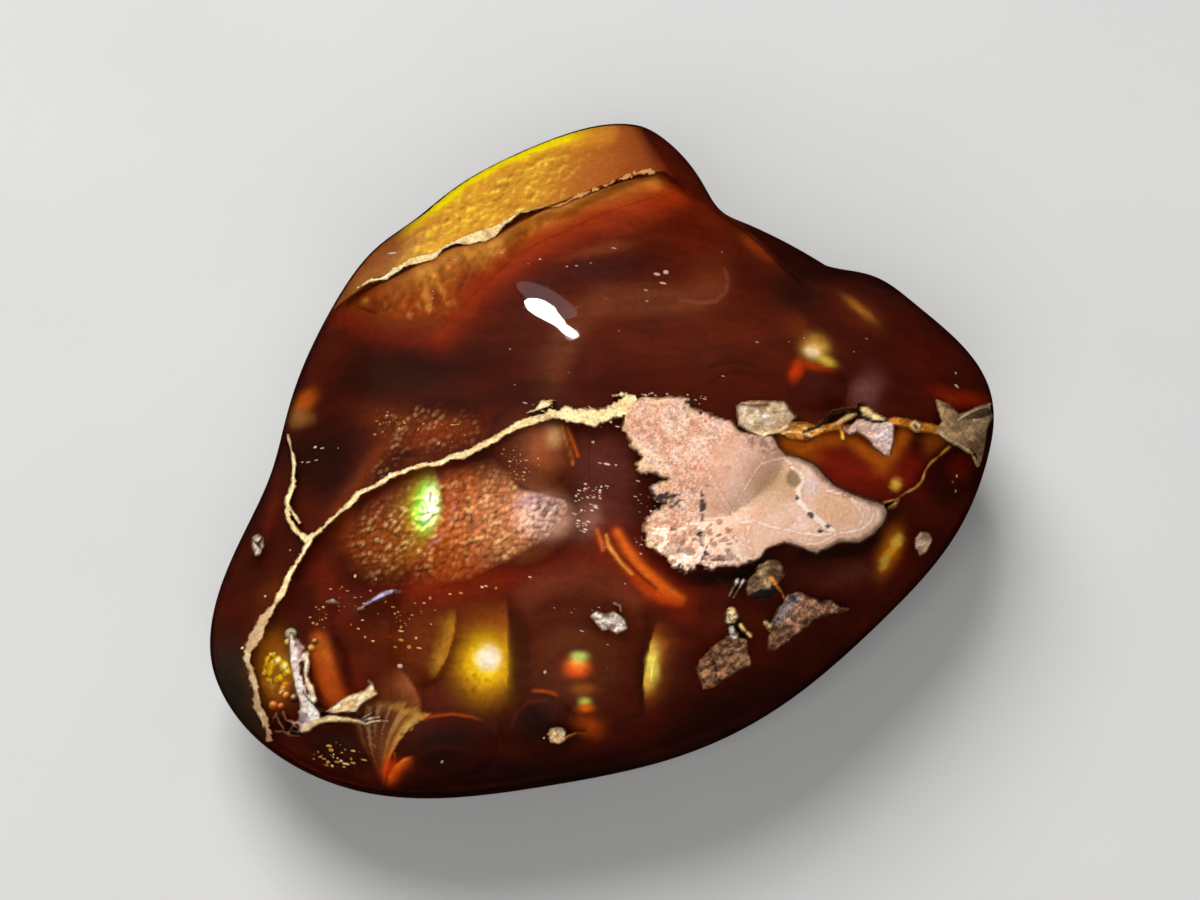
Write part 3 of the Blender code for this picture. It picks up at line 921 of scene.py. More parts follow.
def tones(x, y, square):
    """Colours and lustre of the fire layers at places in the view.

    The body tone is smoked by broad noise; clouds, the honey shelf, domes, curtains and fires cover it.
    """
    wander_x = x + 6 * rough(x, y, 42, 3) + 1.5 * rough(x, y, 9, 5)
    wander_y = y + 6 * rough(x, y, 42, 4) + 1.5 * rough(x, y, 9, 6)
    smoke = rough(x + 0.4 * y, y * 1.6, 90, 12)
    wisps = rough(x * 0.6 + 0.5 * y, y * 1.8 - 0.5 * x, 24, 13)
    colours = coat(x, BODY)
    colours = cover(colours, [
        ((54, 15, 9), 0.6 * smooth(0.0, 0.6, smoke)),
        ((112, 42, 20), 0.5 * smooth(0.0, 0.6, -smoke)),
    ])
    for colour, weight, cx, cy, rx, ry, turn, edge in CLOUDS.values():
        colours = lay(colours, tint(*colour), weight * spot(wander_x, wander_y, cx, cy, rx, ry, turn, edge))
    colours = colours * (1 + 0.22 * wisps)[..., None]
    honey = within(wander_x, wander_y, HONEY_SHELF)
    across, down = 0.9 * x - 0.43 * y, 0.43 * x + 0.9 * y
    streak = rough(across, down * 0.3, 8, 21) + 0.5 * rough(across, down * 0.6, 4, 22)
    colours = cover(colours, [
        ((140, 40, 12), 0.6 * np.exp(-(((honey + 14) / 13) ** 2))),
        ((166, 76, 22), 0.92 * smooth(-18, 14, honey)),
    ])
    near_seam = smooth(40, 6, -along(x, y, UPPER_SEAM)) * fade("shelf_glow_start", x)
    colours = lay(colours, tint(222, 152, 60), 0.85 * near_seam * smooth(-4, 8, honey))
    streaked = smooth(0, 12, honey) * fade("shelf_streaks_end", x)
    colours = cover(colours, [
        ((120, 54, 16), 0.5 * streaked * smooth(0.0, 0.5, -streak)),
        ((240, 180, 80), 0.6 * streaked * smooth(0.1, 0.6, streak)),
    ])
    lustre = np.zeros(x.shape)
    # Painted light and shade on each dome: its crown colour laid strongest at the crown, partly painted
    # light, and painted shade along its rim.
    for cx, cy, rx, ry, turn, _, colour, rim in DOMES.values():
        away = np.sqrt(-np.log(np.maximum(spot(wander_x, wander_y, cx, cy, rx, ry, turn, 1), 1e-9)))
        colours = lay(colours, tint(*colour), 0.85 * smooth(1.04, 0.9, away) * smooth(1.15, 0.2, away))
        colours = colours * (1 - rim * np.exp(-(((away - 1.0) / 0.08) ** 2)))[..., None]
    arch = within(wander_x, wander_y, DARK_ARCH)
    solid = smooth(-1.5, 1.5, arch) * fade("arch_start", y)
    colours = lay(colours, tint(96, 36, 19), 0.8 * solid)
    colours = colours * (1 - 0.55 * solid * smooth(14, 0, arch) * fade("arch_rim_start", y))[..., None]
    colours = colours * BODY_SHADE
    for colour, weight, softness, line in STROKES.values():
        beyond = np.maximum(-along(x + wisps, y + wisps, line), 0) / softness
        colours = lay(colours, tint(*colour), weight * np.exp(-(beyond**2)))
    for colour, width, weight, line in CURTAINS.values():
        gap, part = beside(x, y, line)
        ends = smooth(0, 0.3, part) * smooth(1, 0.7, part)
        veil = smooth(-0.9, 0.7, gap) * np.exp(-((gap / width) ** 2)) * ends
        grain = 1 + 0.35 * rough(across * 0.4, down, 5, 23)
        colours = lay(colours, tint(*colour), weight * veil * grain)
        lustre += 0.5 * veil
    share, up, rays, held = fan(x, y)
    # The fan's gleam and the bright band along its top edge are painted highlights.
    colours = cover(colours, [
        ((118, 60, 32), 0.8 * held),
        ((206, 132, 44), 0.8 * held * smooth(0.55, 0.05, share) * smooth(20, 40, up)),
        ((255, 222, 120), 0.75 * held * smooth(0.26, 0.0, share) * soft_place(x, y, "fan_gleam")),
        ((236, 104, 20), 0.8 * held * smooth(0.5, 0.0, share) * smooth(62, 30, up)),
        ((255, 214, 150), 0.3 * held * smooth(0.0, 0.6, rays) * smooth(20, 70, up)),
        ((60, 24, 12), 0.45 * held * smooth(0.0, 0.6, -rays)),
        ((255, 206, 90), 0.5 * held * smooth(84, 91, up) * smooth(0.8, 0.1, share)),
    ])
    bank = smooth(1.2, -1.2, beside(x + 1.5 * wisps, y, GREEN_EDGE)[0] * -1)
    for name, (colour, weight, cx, cy, rx, ry, turn, edge) in FIRES.items():
        glow = weight * spot(x + 2 * wisps, y + 2 * wisps, cx, cy, rx, ry, turn, edge)
        if name.startswith("green"):
            glow = glow * bank
        colours = lay(colours, tint(*colour), glow)
        lustre += 0.4 * glow
    # Painted light and shade on the beads of the gold dome and the crescent: lighter on their caps, darker
    # between them.
    caps = 1 - grains(x, y, 5, 26, 0.9)[0] ** 2
    beaded = soft_place(x, y, "gold_dome_beads") - 1.2 * soft_place(x, y, "gold_dome_middle")
    beaded = np.clip(np.maximum(beaded, 0.8 * soft_place(x, y, "crescent_beads")), 0, 1)
    colours = colours * (1 + beaded * np.clip(1.6 * (caps - 0.6), -0.3, 0.25))[..., None]
    beyond = fade("gold_strip_edge", x) * soft_place(x, y, "beyond_gold_strip")
    colours = lay(colours, tint(60, 24, 14), beyond * 0.8)
    # Painted shade: the layers darker where they turn away from the camera.
    colours = colours * (1 - 0.45 * smooth(0.32, 0.05, square))[..., None]
    return np.clip(colours, 0, 1), np.clip(lustre, 0, 1) * 0.6


LAYER_DEPTH = 0.95  # mm under the polish, between the domes
LAYER_WAVE = 0.18
LEAST_DEPTH = 0.25
RIM_DEPTH = 0.1  # where the stone turns away from the camera


def layer_depth(x, y, square, points):
    """Depth of the fire layers in mm: a wavy bed, less a cap of rise * (1 - d^2) for each dome."""
    depth = LAYER_DEPTH + LAYER_WAVE * rough(points[..., 0], points[..., 1], 5.5, 7, 3)
    for cx, cy, rx, ry, turn, rise, _, _ in DOMES.values():
        away = -np.log(np.maximum(spot(x, y, cx, cy, rx, ry, turn, 1), 1e-9))
        depth -= rise * np.maximum(1 - away, 0) * smooth(0.0, 0.15, square)
    return np.maximum(depth, LEAST_DEPTH) * smooth(0.05, 0.55, square) + RIM_DEPTH


CORE_RINGS = 250
CORE_AROUND = 390
TOP_SHARE = 0.86  # of the rings, those above the girdle
TOP_SPAN, FOOT_SPAN = (0.004, 1.06), (1.07, 1.97)  # of the rings, in stone coordinates


def fire_core():
    """The closed body of fire layers, on rings from the top of the dome to the middle of the underside."""
    above = int(CORE_RINGS * TOP_SHARE)
    length = np.concatenate([np.linspace(*TOP_SPAN, above), np.linspace(*FOOT_SPAN, CORE_RINGS - above)])
    turn = np.linspace(0, 2 * math.pi, CORE_AROUND, endpoint=False)[None]
    length = length[:, None]
    points, places, square, _ = sunk(length * np.cos(turn), length * np.sin(turn), layer_depth)
    colours, lustre = tones(places[..., 0], places[..., 1], square)
    away = smooth(0.02, 0.12, square)[..., None]
    skinned = lay(np.broadcast_to(BODY, points.shape), tint(120, 52, 22),
                  0.5 + 0.5 * rough(points[..., 0] + points[..., 2], points[..., 1] + points[..., 2], 3, 31))
    colours = skinned * 0.6 * (1 - away) + colours * away
    return new_object(
        "fire_layer_core", with_poles(points), ring_faces(CORE_RINGS, CORE_AROUND), FIRE_LAYERS,
        with_poles(colours), {"lustre": with_poles((lustre * away[..., 0])[..., None])},
    )


# ---------------------------------------------------------------- inlays: closed slabs just under the polish
UNDER = 0.3  # mm, how far an inlay dives below the fire layers outside its own shape
SLAB = 0.35
OUTSIDE = 6  # how far outside its shape an inlay counts where the stone turns away
BOX_MARGIN = 0.014  # in stone coordinates
MM_PER_COORDINATE = 18  # about the stone's radius


def closed_slab(top, bottom):
    """Points and faces of a slab between two grids: quads above, turned quads below, a wall round the rim."""
    rows, columns = top.shape[:2]
    index, quad = grid_quads(rows, columns)
    rim = np.concatenate([index[:-1, 0], index[-1, :-1], index[:0:-1, -1], index[0, :0:-1]])
    after = np.roll(rim, -1)
    lower = rows * columns
    wall = np.stack([rim, rim + lower, after + lower, after], -1)
    faces = np.concatenate([quad, quad[:, ::-1] + lower, wall])
    return np.concatenate([top.reshape(-1, 3), bottom.reshape(-1, 3)]), faces.tolist()


def slab_on(name, a, b, shape, paint, material, rise, relief, edge, mark):
    """A slab over grids of stone coordinates.

    shape says how far inside the inlay a place is. The top goes from UNDER the fire layers up to the depth
    rise where that passes edge, plus the relief, or up to the layers' own depth if rise is None. paint
    gives the colours and the value called mark.
    """
    seen = {}

    def upper(x, y, square, points):
        facing = smooth(0.02, 0.1, square)
        inside = shape(x, y) * facing - OUTSIDE * (1 - facing)
        seen["inside"] = inside
        layer = layer_depth(x, y, square, points)
        raised = (layer if rise is None else rise) + (0.0 if relief is None else relief(x, y, inside))
        return layer + UNDER + (raised - layer - UNDER) * smooth(edge[0], edge[1], inside)

    def lower(x, y, square, points):
        return layer_depth(x, y, square, points) + UNDER + SLAB

    points, places, square, _ = sunk(a, b, upper)
    below = sunk(a, b, lower)[0]
    colours, marked = paint(places[..., 0], places[..., 1], square, seen["inside"])
    slab, faces = closed_slab(points, below)
    both = np.concatenate([np.clip(colours, 0, 1).reshape(-1, 3)] * 2)
    marks = {mark: np.concatenate([np.broadcast_to(marked, square.shape).ravel()] * 2)}
    return new_object(name, slab, faces, material, both, marks)


RAISED_LAYERS = {  # where the fire layers themselves come up close under the polish
    "lower_fire_domes": (388, 588, 704, 735, 0.065),
    "flame_fold": (586, 522, 690, 612, 0.055),
    "bubble_dome": (490, 418, 592, 512, 0.06),
    "fan_and_tongue": (352, 705, 500, 792, 0.065),
}
INLAY_BOXES = {  # left, top, right and bottom of each inlay's box in the view, and its spacing in mm
    "gold_foil_layer": (325, 112, 668, 325, 0.08),
    "honey_shelf_layer": (340, 165, 672, 345, 0.08),
    "granular_fire_layer": (325, 395, 582, 600, 0.062),
    "host_rock_patch": (612, 385, 898, 585, 0.07),
    "gold_nuggets": (256, 620, 326, 715, 0.045),
    **RAISED_LAYERS,
}


def inlay(name, shape, paint, material, rise=0.03, relief=None, edge=(-1.2, 0.8), mark="lustre", box=()):
    """A slab on an even grid of stone coordinates over the inlay's box of the view."""
    left, top, right, bottom, spacing = box or INLAY_BOXES[name]
    x, y = SIGHT_PLACES.T
    found = SIGHT_COORDS[(x > left) & (x < right) & (y > top) & (y < bottom)]
    low, high = found.min(0) - BOX_MARGIN, found.max(0) + BOX_MARGIN
    count = np.maximum(np.ceil((high - low) * MM_PER_COORDINATE / spacing).astype(int), 8)
    a, b = np.meshgrid(np.linspace(low[0], high[0], count[0]), np.linspace(low[1], high[1], count[1]),
                       indexing="ij")
    return slab_on(name, a, b, shape, paint, material, rise, relief, edge, mark)


RIBBON_STEP = 0.8  # view units along a ribbon
RIBBON_ACROSS = 29
RIBBON_MARGIN = 4.5
RIBBON_BELL = 14


def ribbon(name, path, shape, paint, material, rise=0.03, edge=(-0.9, 0.5)):
    """A slab along a vein: u follows its line, smoothed by a bell, and v crosses it on parabolas."""
    path = np.asarray(path, float)
    reached = np.concatenate([[0.0], np.cumsum(np.hypot(*np.diff(path[:, :2], axis=0).T))])
    u = np.arange(0, reached[-1], RIBBON_STEP)
    line = np.stack([np.interp(u, reached, path[:, k]) for k in range(3)], -1)
    bell = np.hanning(int(RIBBON_BELL / RIBBON_STEP) | 1)
    padded = np.pad(line, ((len(bell) // 2,) * 2, (0, 0)), "reflect", reflect_type="odd")
    line = np.stack([np.convolve(padded[:, k], bell / bell.sum(), "valid") for k in range(3)], -1)
    ahead = unit(np.gradient(line[:, :2], axis=0))
    reach = (line[:, 2:] + RIBBON_MARGIN) * np.stack([-ahead[:, 1], ahead[:, 0]], -1)
    left, middle, right = (on_stone(line[:, :2] + side * reach)[:, None] for side in (-1, 0, 1))
    v = np.linspace(-1, 1, RIBBON_ACROSS)[None, :, None]
    coords = middle * (1 - v * v) + left * v * (v - 1) / 2 + right * v * (v + 1) / 2
    return slab_on(name, coords[..., 0], coords[..., 1], shape, paint, material, rise, None, edge, "sugar")


def lit_side(height, x, y, step, lean=0.0):
    """How much a relief rises just below a place in the view, for painting its side towards the top bright
    and the other side dark.
    """
    return height(x + lean * step, y + step) - height(x - lean * step, y - step)


CREAM = tint(255, 240, 186)
AMBER = tint(176, 100, 38)


def crust_paint(x, y, square, inside):
    """Cream crust with darker crumbs, hair cracks and an amber edge."""
    crumbs, next_crumbs, own = grains(x, y, 5.5, 41)
    colours = coat(x, CREAM)
    colours = cover(colours, [
        ((240, 202, 138), 0.5 * smooth(0.5, 0.9, own)),
        ((186, 124, 66), 0.6 * smooth(0.25, 0.6, rough(x, y, 11, 44))),
        ((255, 252, 226), 0.7 * smooth(0.5, 0.15, crumbs) * (own < 0.3)),
        ((150, 90, 44), 0.45 * smooth(0.1, 0.02, next_crumbs - crumbs) * (own > 0.35)),
        ((196, 146, 104), 0.55 * fade("seam_duller", y) * smooth(0.2, 0.5, own)),
        ((214, 176, 140), 0.45 * fade("seam_browner", y)),
    ])
    broken = smooth(0.25, 0.45, rough(x, y, 8, 45, 3)) * fade("seam_broken", x) * smooth(3.5, 0.5, inside)
    colours = lay(colours, tint(110, 50, 22), 0.85 * broken)
    colours = lay(colours, AMBER * 0.7, 0.9 * smooth(0.1, -0.7, inside))
    return colours, 0.35


MAIN_SEAM = [
    (638, 404, 9), (627, 407, 9), (617, 410, 7), (603, 415, 6.5), (594, 417, 8), (585, 417, 7), (575, 416, 7),
    (566, 413, 6), (558, 414, 3.5), (551, 414, 4.5), (541, 418, 3.5), (530, 421, 4.2), (521, 424, 3.4),
    (512, 428, 3.6), (503, 434, 3), (494, 439, 3.8), (476, 448, 2.8), (464, 455, 3.4), (451, 457, 2.8),
    (441, 463, 2.2), (423, 465, 2.1), (407, 470, 2.1), (390, 476, 2.3), (376, 486, 2), (368, 489, 2.3),
    (358, 494, 2), (352, 502, 2.6), (338, 513, 1.8), (326, 525, 1.4), (316, 533, 1.8), (309, 539, 3.4),
    (307, 545, 2.6), (298, 561, 2.2), (289, 576, 2.9), (281, 594, 3.2), (270, 611, 2.6), (263, 619, 4.4),
    (257, 635, 5.4), (250, 646, 5), (246, 657, 3), (251, 672, 3.4), (255, 688, 3.8), (258, 707, 3.8),
    (266, 724, 3.2), (270, 742, 2.6),
]
BRANCH_SEAM = [
    (287, 434, 1.2), (292, 453, 1.4), (294, 466, 2), (293, 484, 2.4), (287, 502, 2.8), (288, 518, 2.4),
    (295, 530, 2.6), (303, 536, 2.8), (307, 542, 2.8),
]
SEAM_SPRIGS = [
    [(553, 403, 0.5), (543, 405, 1.8), (535, 410, 1.0), (526, 413, 0.4)],
    [(560, 400, 0.4), (549, 401, 1.0), (540, 403, 0.4)],
    [(612, 396, 0.8), (622, 394, 1.6), (632, 397, 1)],
    [(286, 500, 1), (291, 510, 1.2), (300, 524, 1.4)],
]
UPPER_SEAM = [
    (357, 288, 1), (371, 280, 2.2), (380, 279, 1.6), (386, 277, 2.6), (400, 266, 3.6), (412, 260, 4.4),
    (424, 258, 4.4), (434, 254, 4.6), (441, 248, 2.4), (450, 243, 2), (457, 240, 4), (464, 238, 7),
    (474, 235, 8), (484, 234, 8), (492, 230, 7.5), (498, 225, 5), (508, 220, 2.2), (520, 212, 1.2),
    (533, 209, 1.6), (545, 205, 1.2), (556, 206, 1.6), (566, 203, 2), (575, 197, 1.6), (595, 189, 1.2),
    (612, 182, 1.8), (632, 174, 1.8), (646, 171, 2.6), (656, 172, 1.4),
]


SEAM_LOOP, LOOP_HALF = (253, 661), 3.4  # an open loop in the lower seam


def ragged_seam(paths):
    """How far inside a set of veins with edges broken by noise of two sizes, and a hole in the lower loop."""
    def shape(x, y):
        inside = np.maximum.reduce([along(x, y, path) for path in paths])
        hole = LOOP_HALF - np.hypot(x - SEAM_LOOP[0], (y - SEAM_LOOP[1]) * 0.8)
        wide = 1 + 0.8 * fade("seam_wider_right", x) + 0.5 * fade("seam_wider_low", y)
        torn = inside + 1.5 * wide * rough(x, y, 7, 51) + 1.1 * wide * rough(x, y, 2.6, 52, 2)
        return np.minimum(torn, -hole)

    return shape


def upper_seam_paint(x, y, square, inside):
    """The cream crust, browner towards its right end."""
    colours, lustre = crust_paint(x, y, square, inside)
    return lay(colours, tint(214, 144, 66), 0.75 * fade("upper_seam_browner", x)), lustre


# ---------------------------------------------------------------- the gold face
GOLD_FACE = [
    (330, 312), (371, 282), (386, 276), (412, 259), (437, 253), (448, 245), (470, 235), (498, 226),
    (520, 213), (556, 205), (595, 189), (632, 174), (664, 172), (676, 178), (690, 172), (672, 140),
    (650, 108), (560, 108), (450, 150), (380, 220), (330, 290),
]


GOLD_CREST = [(396, 236), (430, 209), (462, 185), (500, 162), (540, 145), (575, 135), (606, 130)]
FOIL_RISE, SHELF_RISE, BEAD_RISE = 0.08, 0.07, 0.13  # mm


def foil(x, y):
    """Hammered foil: caps of 1 - d^2 on grains of two sizes, drawn out along the face, with fine crumple."""
    u, v = (x * 0.88 - y * 0.48) * 0.85, y * 0.88 + x * 0.48
    near, _, own = grains(u, v, 8.5, 61)
    fine, _, _ = grains(u, v, 4.6, 62)
    return (1 - near**2) * (0.5 + 0.5 * own) + 0.5 * (1 - fine**2) + 0.3 * rough(x, y, 7, 64)


def gold_paint(x, y, square, inside):
    """Amber ground with painted light and shade on the foil, gold on its lit sides, a painted glow along the
    rim, and ends that melt into the layers.
    """
    wrinkled = fade("foil_right_end", x, y) * fade("foil_left_end", x, y)
    wrinkled = wrinkled * np.clip(0.85 + 0.4 * rough(x, y, 34, 65), 0, 1)
    height = foil(x, y)
    # Painted light and shade on the foil: its sides towards the top gold, pale and partly green, the other
    # sides dark.
    lit = lit_side(foil, x, y, 1.5, 0.6)
    colours = coat(x, tint(182, 104, 42))
    colours = cover(colours, [
        ((196, 140, 100), 0.8 * soft_place(x, y, "tan_corner")),
        ((206, 150, 74), 0.7 * smooth(14, 2, -along(x, y, UPPER_SEAM)) * fade("seam_light_end", x)),
        ((140, 80, 34), 0.75 * fade("foil_darker_left", x)),
        ((228, 178, 54), 0.95 * wrinkled),
        ((150, 96, 14), 0.85 * wrinkled * smooth(0.55, 0.15, height)),
        ((110, 62, 8), 0.7 * wrinkled * smooth(-0.1, -0.6, lit)),
        ((255, 232, 80), 0.95 * wrinkled * smooth(0.05, 0.45, lit)),
        ((255, 255, 176), 0.95 * wrinkled * smooth(0.45, 0.8, lit)),
    ])
    green = wrinkled * smooth(0.2, 0.7, lit) * smooth(0.1, 0.5, rough(x, y, 18, 66))
    colours = lay(colours, tint(206, 236, 60), 0.6 * green)
    # Painted glow: a bright yellow rim along the crest and a gold halo beside it, as of light through the
    # thin edge.
    crest = -along(x, y, GOLD_CREST)
    rim = smooth(10, 2, crest + 2 * rough(x, y, 9, 67)) * fade("rim_glow_left_end", x) * fade("rim_glow_right_end", x)
    colours = cover(colours, [
        ((255, 240, 0), rim),
        ((226, 160, 50), 0.6 * smooth(20, 6, crest) * (1 - rim) * fade("rim_glow_halo_left_end", x)),
    ])
    colours = lay(colours, tint(150, 72, 26), 0.8 * fade("foil_deeper", x))
    layers = tones(x, y, square)[0]
    melt = fade("foil_melts", x, y)[..., None]
    return colours * (1 - melt) + layers * melt, 0.15 * wrinkled


def gold_relief(x, y, inside):
    """The foil's own rise, fading towards both ends of the face."""
    wrinkled = fade("hammered_right_end", x) * fade("hammered_left_end", x)
    return -FOIL_RISE * foil(x, y) * wrinkled


def shelf_foil(x, y):
    """The same hammered caps, drawn out down the slope."""
    u, v = x * 0.9 + y * 0.42, (y * 0.9 - x * 0.42) * 0.5
    near, _, own = grains(u, v, 8, 68)
    fine, _, _ = grains(u, v * 1.4, 4.4, 69)
    return (1 - near**2) * (0.4 + 0.6 * own) + 0.4 * (1 - fine**2)


def shelf_paint(x, y, square, inside):
    """The layers' own tones, with painted light and shade on the foil: brighter on its lit sides, away from
    the border and the right end.
    """
    colours, lustre = tones(x, y, square)
    wrinkled = smooth(2, 16, inside) * fade("shelf_foil_end", x)
    # Painted light and shade on the shelf's foil: lighter on the sides towards the top, darker on the others.
    lit = lit_side(shelf_foil, x, y, 1.5, 0.4)
    shine = np.clip(0.8 * lit + 0.7 * (shelf_foil(x, y) - 0.6), -0.6, 1.0)
    colours = colours * (1 + wrinkled * shine)[..., None]
    colours = lay(colours, tint(255, 214, 110), 0.7 * wrinkled * smooth(0.35, 0.9, lit))
    return colours, lustre


def shelf_relief(x, y, inside):
    """The shelf's rise towards the upper seam, and the foil on it, both in millimetres."""
    reach = 34 - 20 * fade("shelf_narrows", x)
    by_seam = smooth(1, 0.1, -along(x, y, UPPER_SEAM) / reach)
    raised = 0.72 * by_seam * fade("shelf_right_end", x) * fade("shelf_left_end", x)
    hammered = shelf_foil(x, y) * smooth(0, 14, inside) * fade("shelf_hammered_end", x)
    return -0.02 - raised - SHELF_RISE * hammered


# ---------------------------------------------------------------- granular fire
GRANULAR = [
    (336, 536), (352, 508), (376, 492), (410, 474), (440, 468), (470, 460), (492, 456), (508, 470),
    (520, 486), (546, 495), (566, 498), (570, 508), (562, 522), (548, 537), (532, 549), (506, 564),
    (470, 580), (430, 590), (396, 598), (366, 590), (344, 570),
]
GRANULAR_BANK = [
    (362, 412), (384, 400), (430, 398), (474, 404), (486, 424), (474, 446), (440, 458), (410, 468),
    (384, 484), (362, 492), (368, 466), (384, 444), (374, 428),
]


BEAD_STEP = [(462, 474), (471, 506), (473, 530), (466, 560)]
LILAC_GLINT_LINE = [(453, 490), (454, 503), (452, 520), (442, 536), (427, 549)]


def bead_height(x, y):
    """Packed beads: the taller of caps of 1 - d^2 on grains of two sizes, each bead with its own height."""
    near, _, own = grains(x, y * 0.9, 5.4, 72, 0.9)
    fine, _, small = grains(x, y, 3.4, 73, 0.9)
    coarse = np.maximum(0, 1 - (near * 1.35) ** 2) * (0.55 + 0.45 * own)
    return np.maximum(coarse, np.maximum(0, 1 - (fine * 1.4) ** 2) * (0.3 + 0.4 * small))


def granular_shape(x, y):
    """How far inside the larger or the upper bed a place is, with a border bent by noise."""
    return np.maximum(within(x, y, GRANULAR), within(x, y, GRANULAR_BANK)) + 2.5 * rough(x, y, 16, 71)


def granular_paint(x, y, square, inside):
    """The layers' own tones, bronzed and beaded away from the border, with painted light and shade on the
    beads and painted glints on their lit sides.
    """
    colours, lustre = tones(x, y, square)
    height = bead_height(x, y)
    lit = lit_side(bead_height, x, y, 1.1, 0.3)
    full = smooth(0, 1, inside / (2.5 + 12 * fade("bed_softer_left", x)))
    green = soft_place(x, y, "green_beads")
    bronze = soft_place(x, y, "bronze_beads") * smooth(0, 6, within(x, y, GRANULAR))
    orange = soft_place(x, y, "orange_beads")
    golden = soft_place(x, y, "golden_beads")
    colours = cover(colours, [
        ((170, 88, 34), 0.75 * golden * (1 - green) * full),
        ((196, 100, 38), 0.85 * orange * (1 - green) * full),
        ((196, 130, 88), 0.9 * bronze * full),
        ((255, 208, 200), 0.95 * soft_place(x, y, "pink_beads") * full),
        ((236, 200, 226), 0.6 * soft_place(x, y, "lilac_beads") * full),
    ])
    deep = 0.5 + 0.5 * np.clip(bronze + 0.6 * golden + 0.6 * orange, 0, 1)
    # Painted light and shade on the beads: lit sides and tall beads lighter, a dark and a light line along
    # the bead step.
    ups = np.clip(1.2 * lit, -0.6, 0.9) + 1.1 * (height - 0.45)
    step = beside(x + 2 * rough(x, y, 14, 76), y, BEAD_STEP)[0]
    ups = ups - 0.5 * np.exp(-(((step - 1) / 2.2) ** 2)) + 0.4 * np.exp(-(((step + 3) / 2.5) ** 2))
    colours = colours * (1 + full * deep * (1 - 0.35 * green) * np.clip(ups, -0.75, 1.4))[..., None]
    shine = np.clip(bronze + 0.9 * golden + 0.8 * soft_place(x, y, "green_shine")
                    + 0.32 * soft_place(x, y, "bank_shine") + 0.5 * soft_place(x, y, "bank_foot_shine")
                    + 0.4 * orange, 0, 1)
    # Painted glints on the beads' tops and lit sides.
    glint = smooth(0.55, 0.85, height + 0.5 * lit) * smooth(-0.3, 0.4, rough(x, y, 7, 74)) * full
    colours = lay(colours, tint(255, 226, 160), 0.85 * glint * shine)
    # A painted lilac line of glints.
    lilac_glints = smooth(3.0, 0.4, -along(x, y, LILAC_GLINT_LINE))
    colours = lay(colours, tint(206, 160, 190), 0.6 * lilac_glints * smooth(0.0, 0.4, rough(x, y, 4, 75)))
    return colours, np.clip(lustre + 0.25 * shine * full, 0, 1)


def granular_relief(x, y, inside):
    """The beads' own rise, fading at the border."""
    return -0.03 - BEAD_RISE * bead_height(x, y) * smooth(0, 12, inside)


# ---------------------------------------------------------------- the pink host rock and its veins
HOST_ROCK = [
    (621, 426), (628, 402), (646, 395), (665, 398), (687, 397), (694, 407), (702, 414), (717, 416),
    (729, 420), (740, 430), (755, 434), (773, 435), (778, 445), (786, 455), (799, 457), (813, 462),
    (826, 476), (840, 487), (857, 495), (874, 501), (885, 504), (888, 514), (882, 527), (874, 535),
    (859, 543), (843, 543), (836, 545), (817, 554), (805, 550), (784, 543), (767, 550), (761, 558),
    (744, 564), (725, 569), (711, 571), (700, 564), (692, 569), (685, 575), (673, 566), (660, 554),
    (648, 545), (644, 529), (646, 518), (656, 510), (664, 502), (656, 499), (646, 487), (658, 483),
    (671, 479), (656, 474), (644, 474), (633, 464), (641, 457), (629, 445), (627, 435),
]
SUGARY = [
    (600, 380), (740, 410), (734, 428), (730, 443), (707, 472), (707, 499), (703, 522), (713, 546),
    (761, 552), (740, 590), (600, 590),
]
ROCK_VEINS = [  # right, down, half width
    [(698, 452, 0.6), (705, 466, 1.1), (715, 485, 1.0), (724, 500, 1.4), (732, 512, 1.3), (742, 522, 1.5)],
    [
        (742, 522, 1.5), (757, 521, 1.2), (763, 524, 1.4), (782, 529, 1.2), (801, 533, 1.4), (818, 535, 1.6),
        (835, 533, 1.4), (849, 532, 1.4), (862, 529, 1.3), (872, 520, 1.3), (874, 512, 1.0)],
    [(732, 512, 1.2), (741, 495, 0.8), (747, 485, 1.3), (756, 470, 0.9), (761, 464, 1.4), (766, 453, 0.6)],
    [(761, 464, 1.4), (772, 460, 1.3), (784, 458, 1.5), (791, 464, 1.3)],
    [
        (792, 467, 1.6), (801, 473, 2.0), (803, 482, 1.8), (798, 490, 2.6), (799, 501, 3.2), (808, 511, 3.2),
        (820, 521, 3.2), (828, 528, 3.6), (835, 531, 2)],
    [(817, 491, 0.7), (830, 491, 0.9), (845, 495, 0.9), (856, 504, 1.1), (864, 517, 0.9), (858, 527, 0.8)],
    [(852, 499, 1.1), (862, 506, 0.8), (872, 512, 0.8)],
    [(807, 544, 0.9), (820, 543, 1.1), (831, 537, 1), (838, 533, 1)],
    [(749, 525, 0.9), (748, 535, 0.8), (749, 545, 0.8), (753, 554, 0.9)],
    [(734, 535, 0.8), (742, 544, 1.0), (751, 548, 0.8)],
    [(713, 541, 0.5), (722, 533, 0.6), (734, 526, 0.6)],
    [(699, 470, 0.6), (695, 460, 0.9), (684, 458, 0.5)],
]
BLACK_PATCHES = [  # right, down, half sizes, turn
    (669, 499, 19, 7, 10), (703, 506, 4, 19, -4), (698, 533, 8, 6, 30), (676, 528, 4, 3, 0),
    (705, 554, 5, 11, 0), (681, 569, 7, 5, 30), (797, 498, 2, 3, 0), (811, 515, 3, 4.5, -40),
    (820, 531, 3.5, 2, 0), (828, 526, 3, 2, 0), (707, 486, 5, 1.2, 0), (652, 556, 8, 10, 40),
    (694, 404, 12, 4, 20),
]


def host_rock_shape(x, y):
    """How far inside the host rock a place is: its border crumbles at the left and is smooth at the right."""
    crumbly = smooth(-20, 30, within(x, y, SUGARY))
    ragged = (1.2 + 3.4 * crumbly) * rough(x, y, 10, 81) + (0.6 + 1.6 * crumbly) * rough(x, y, 3.2, 82, 2)
    return within(x, y, HOST_ROCK) + ragged


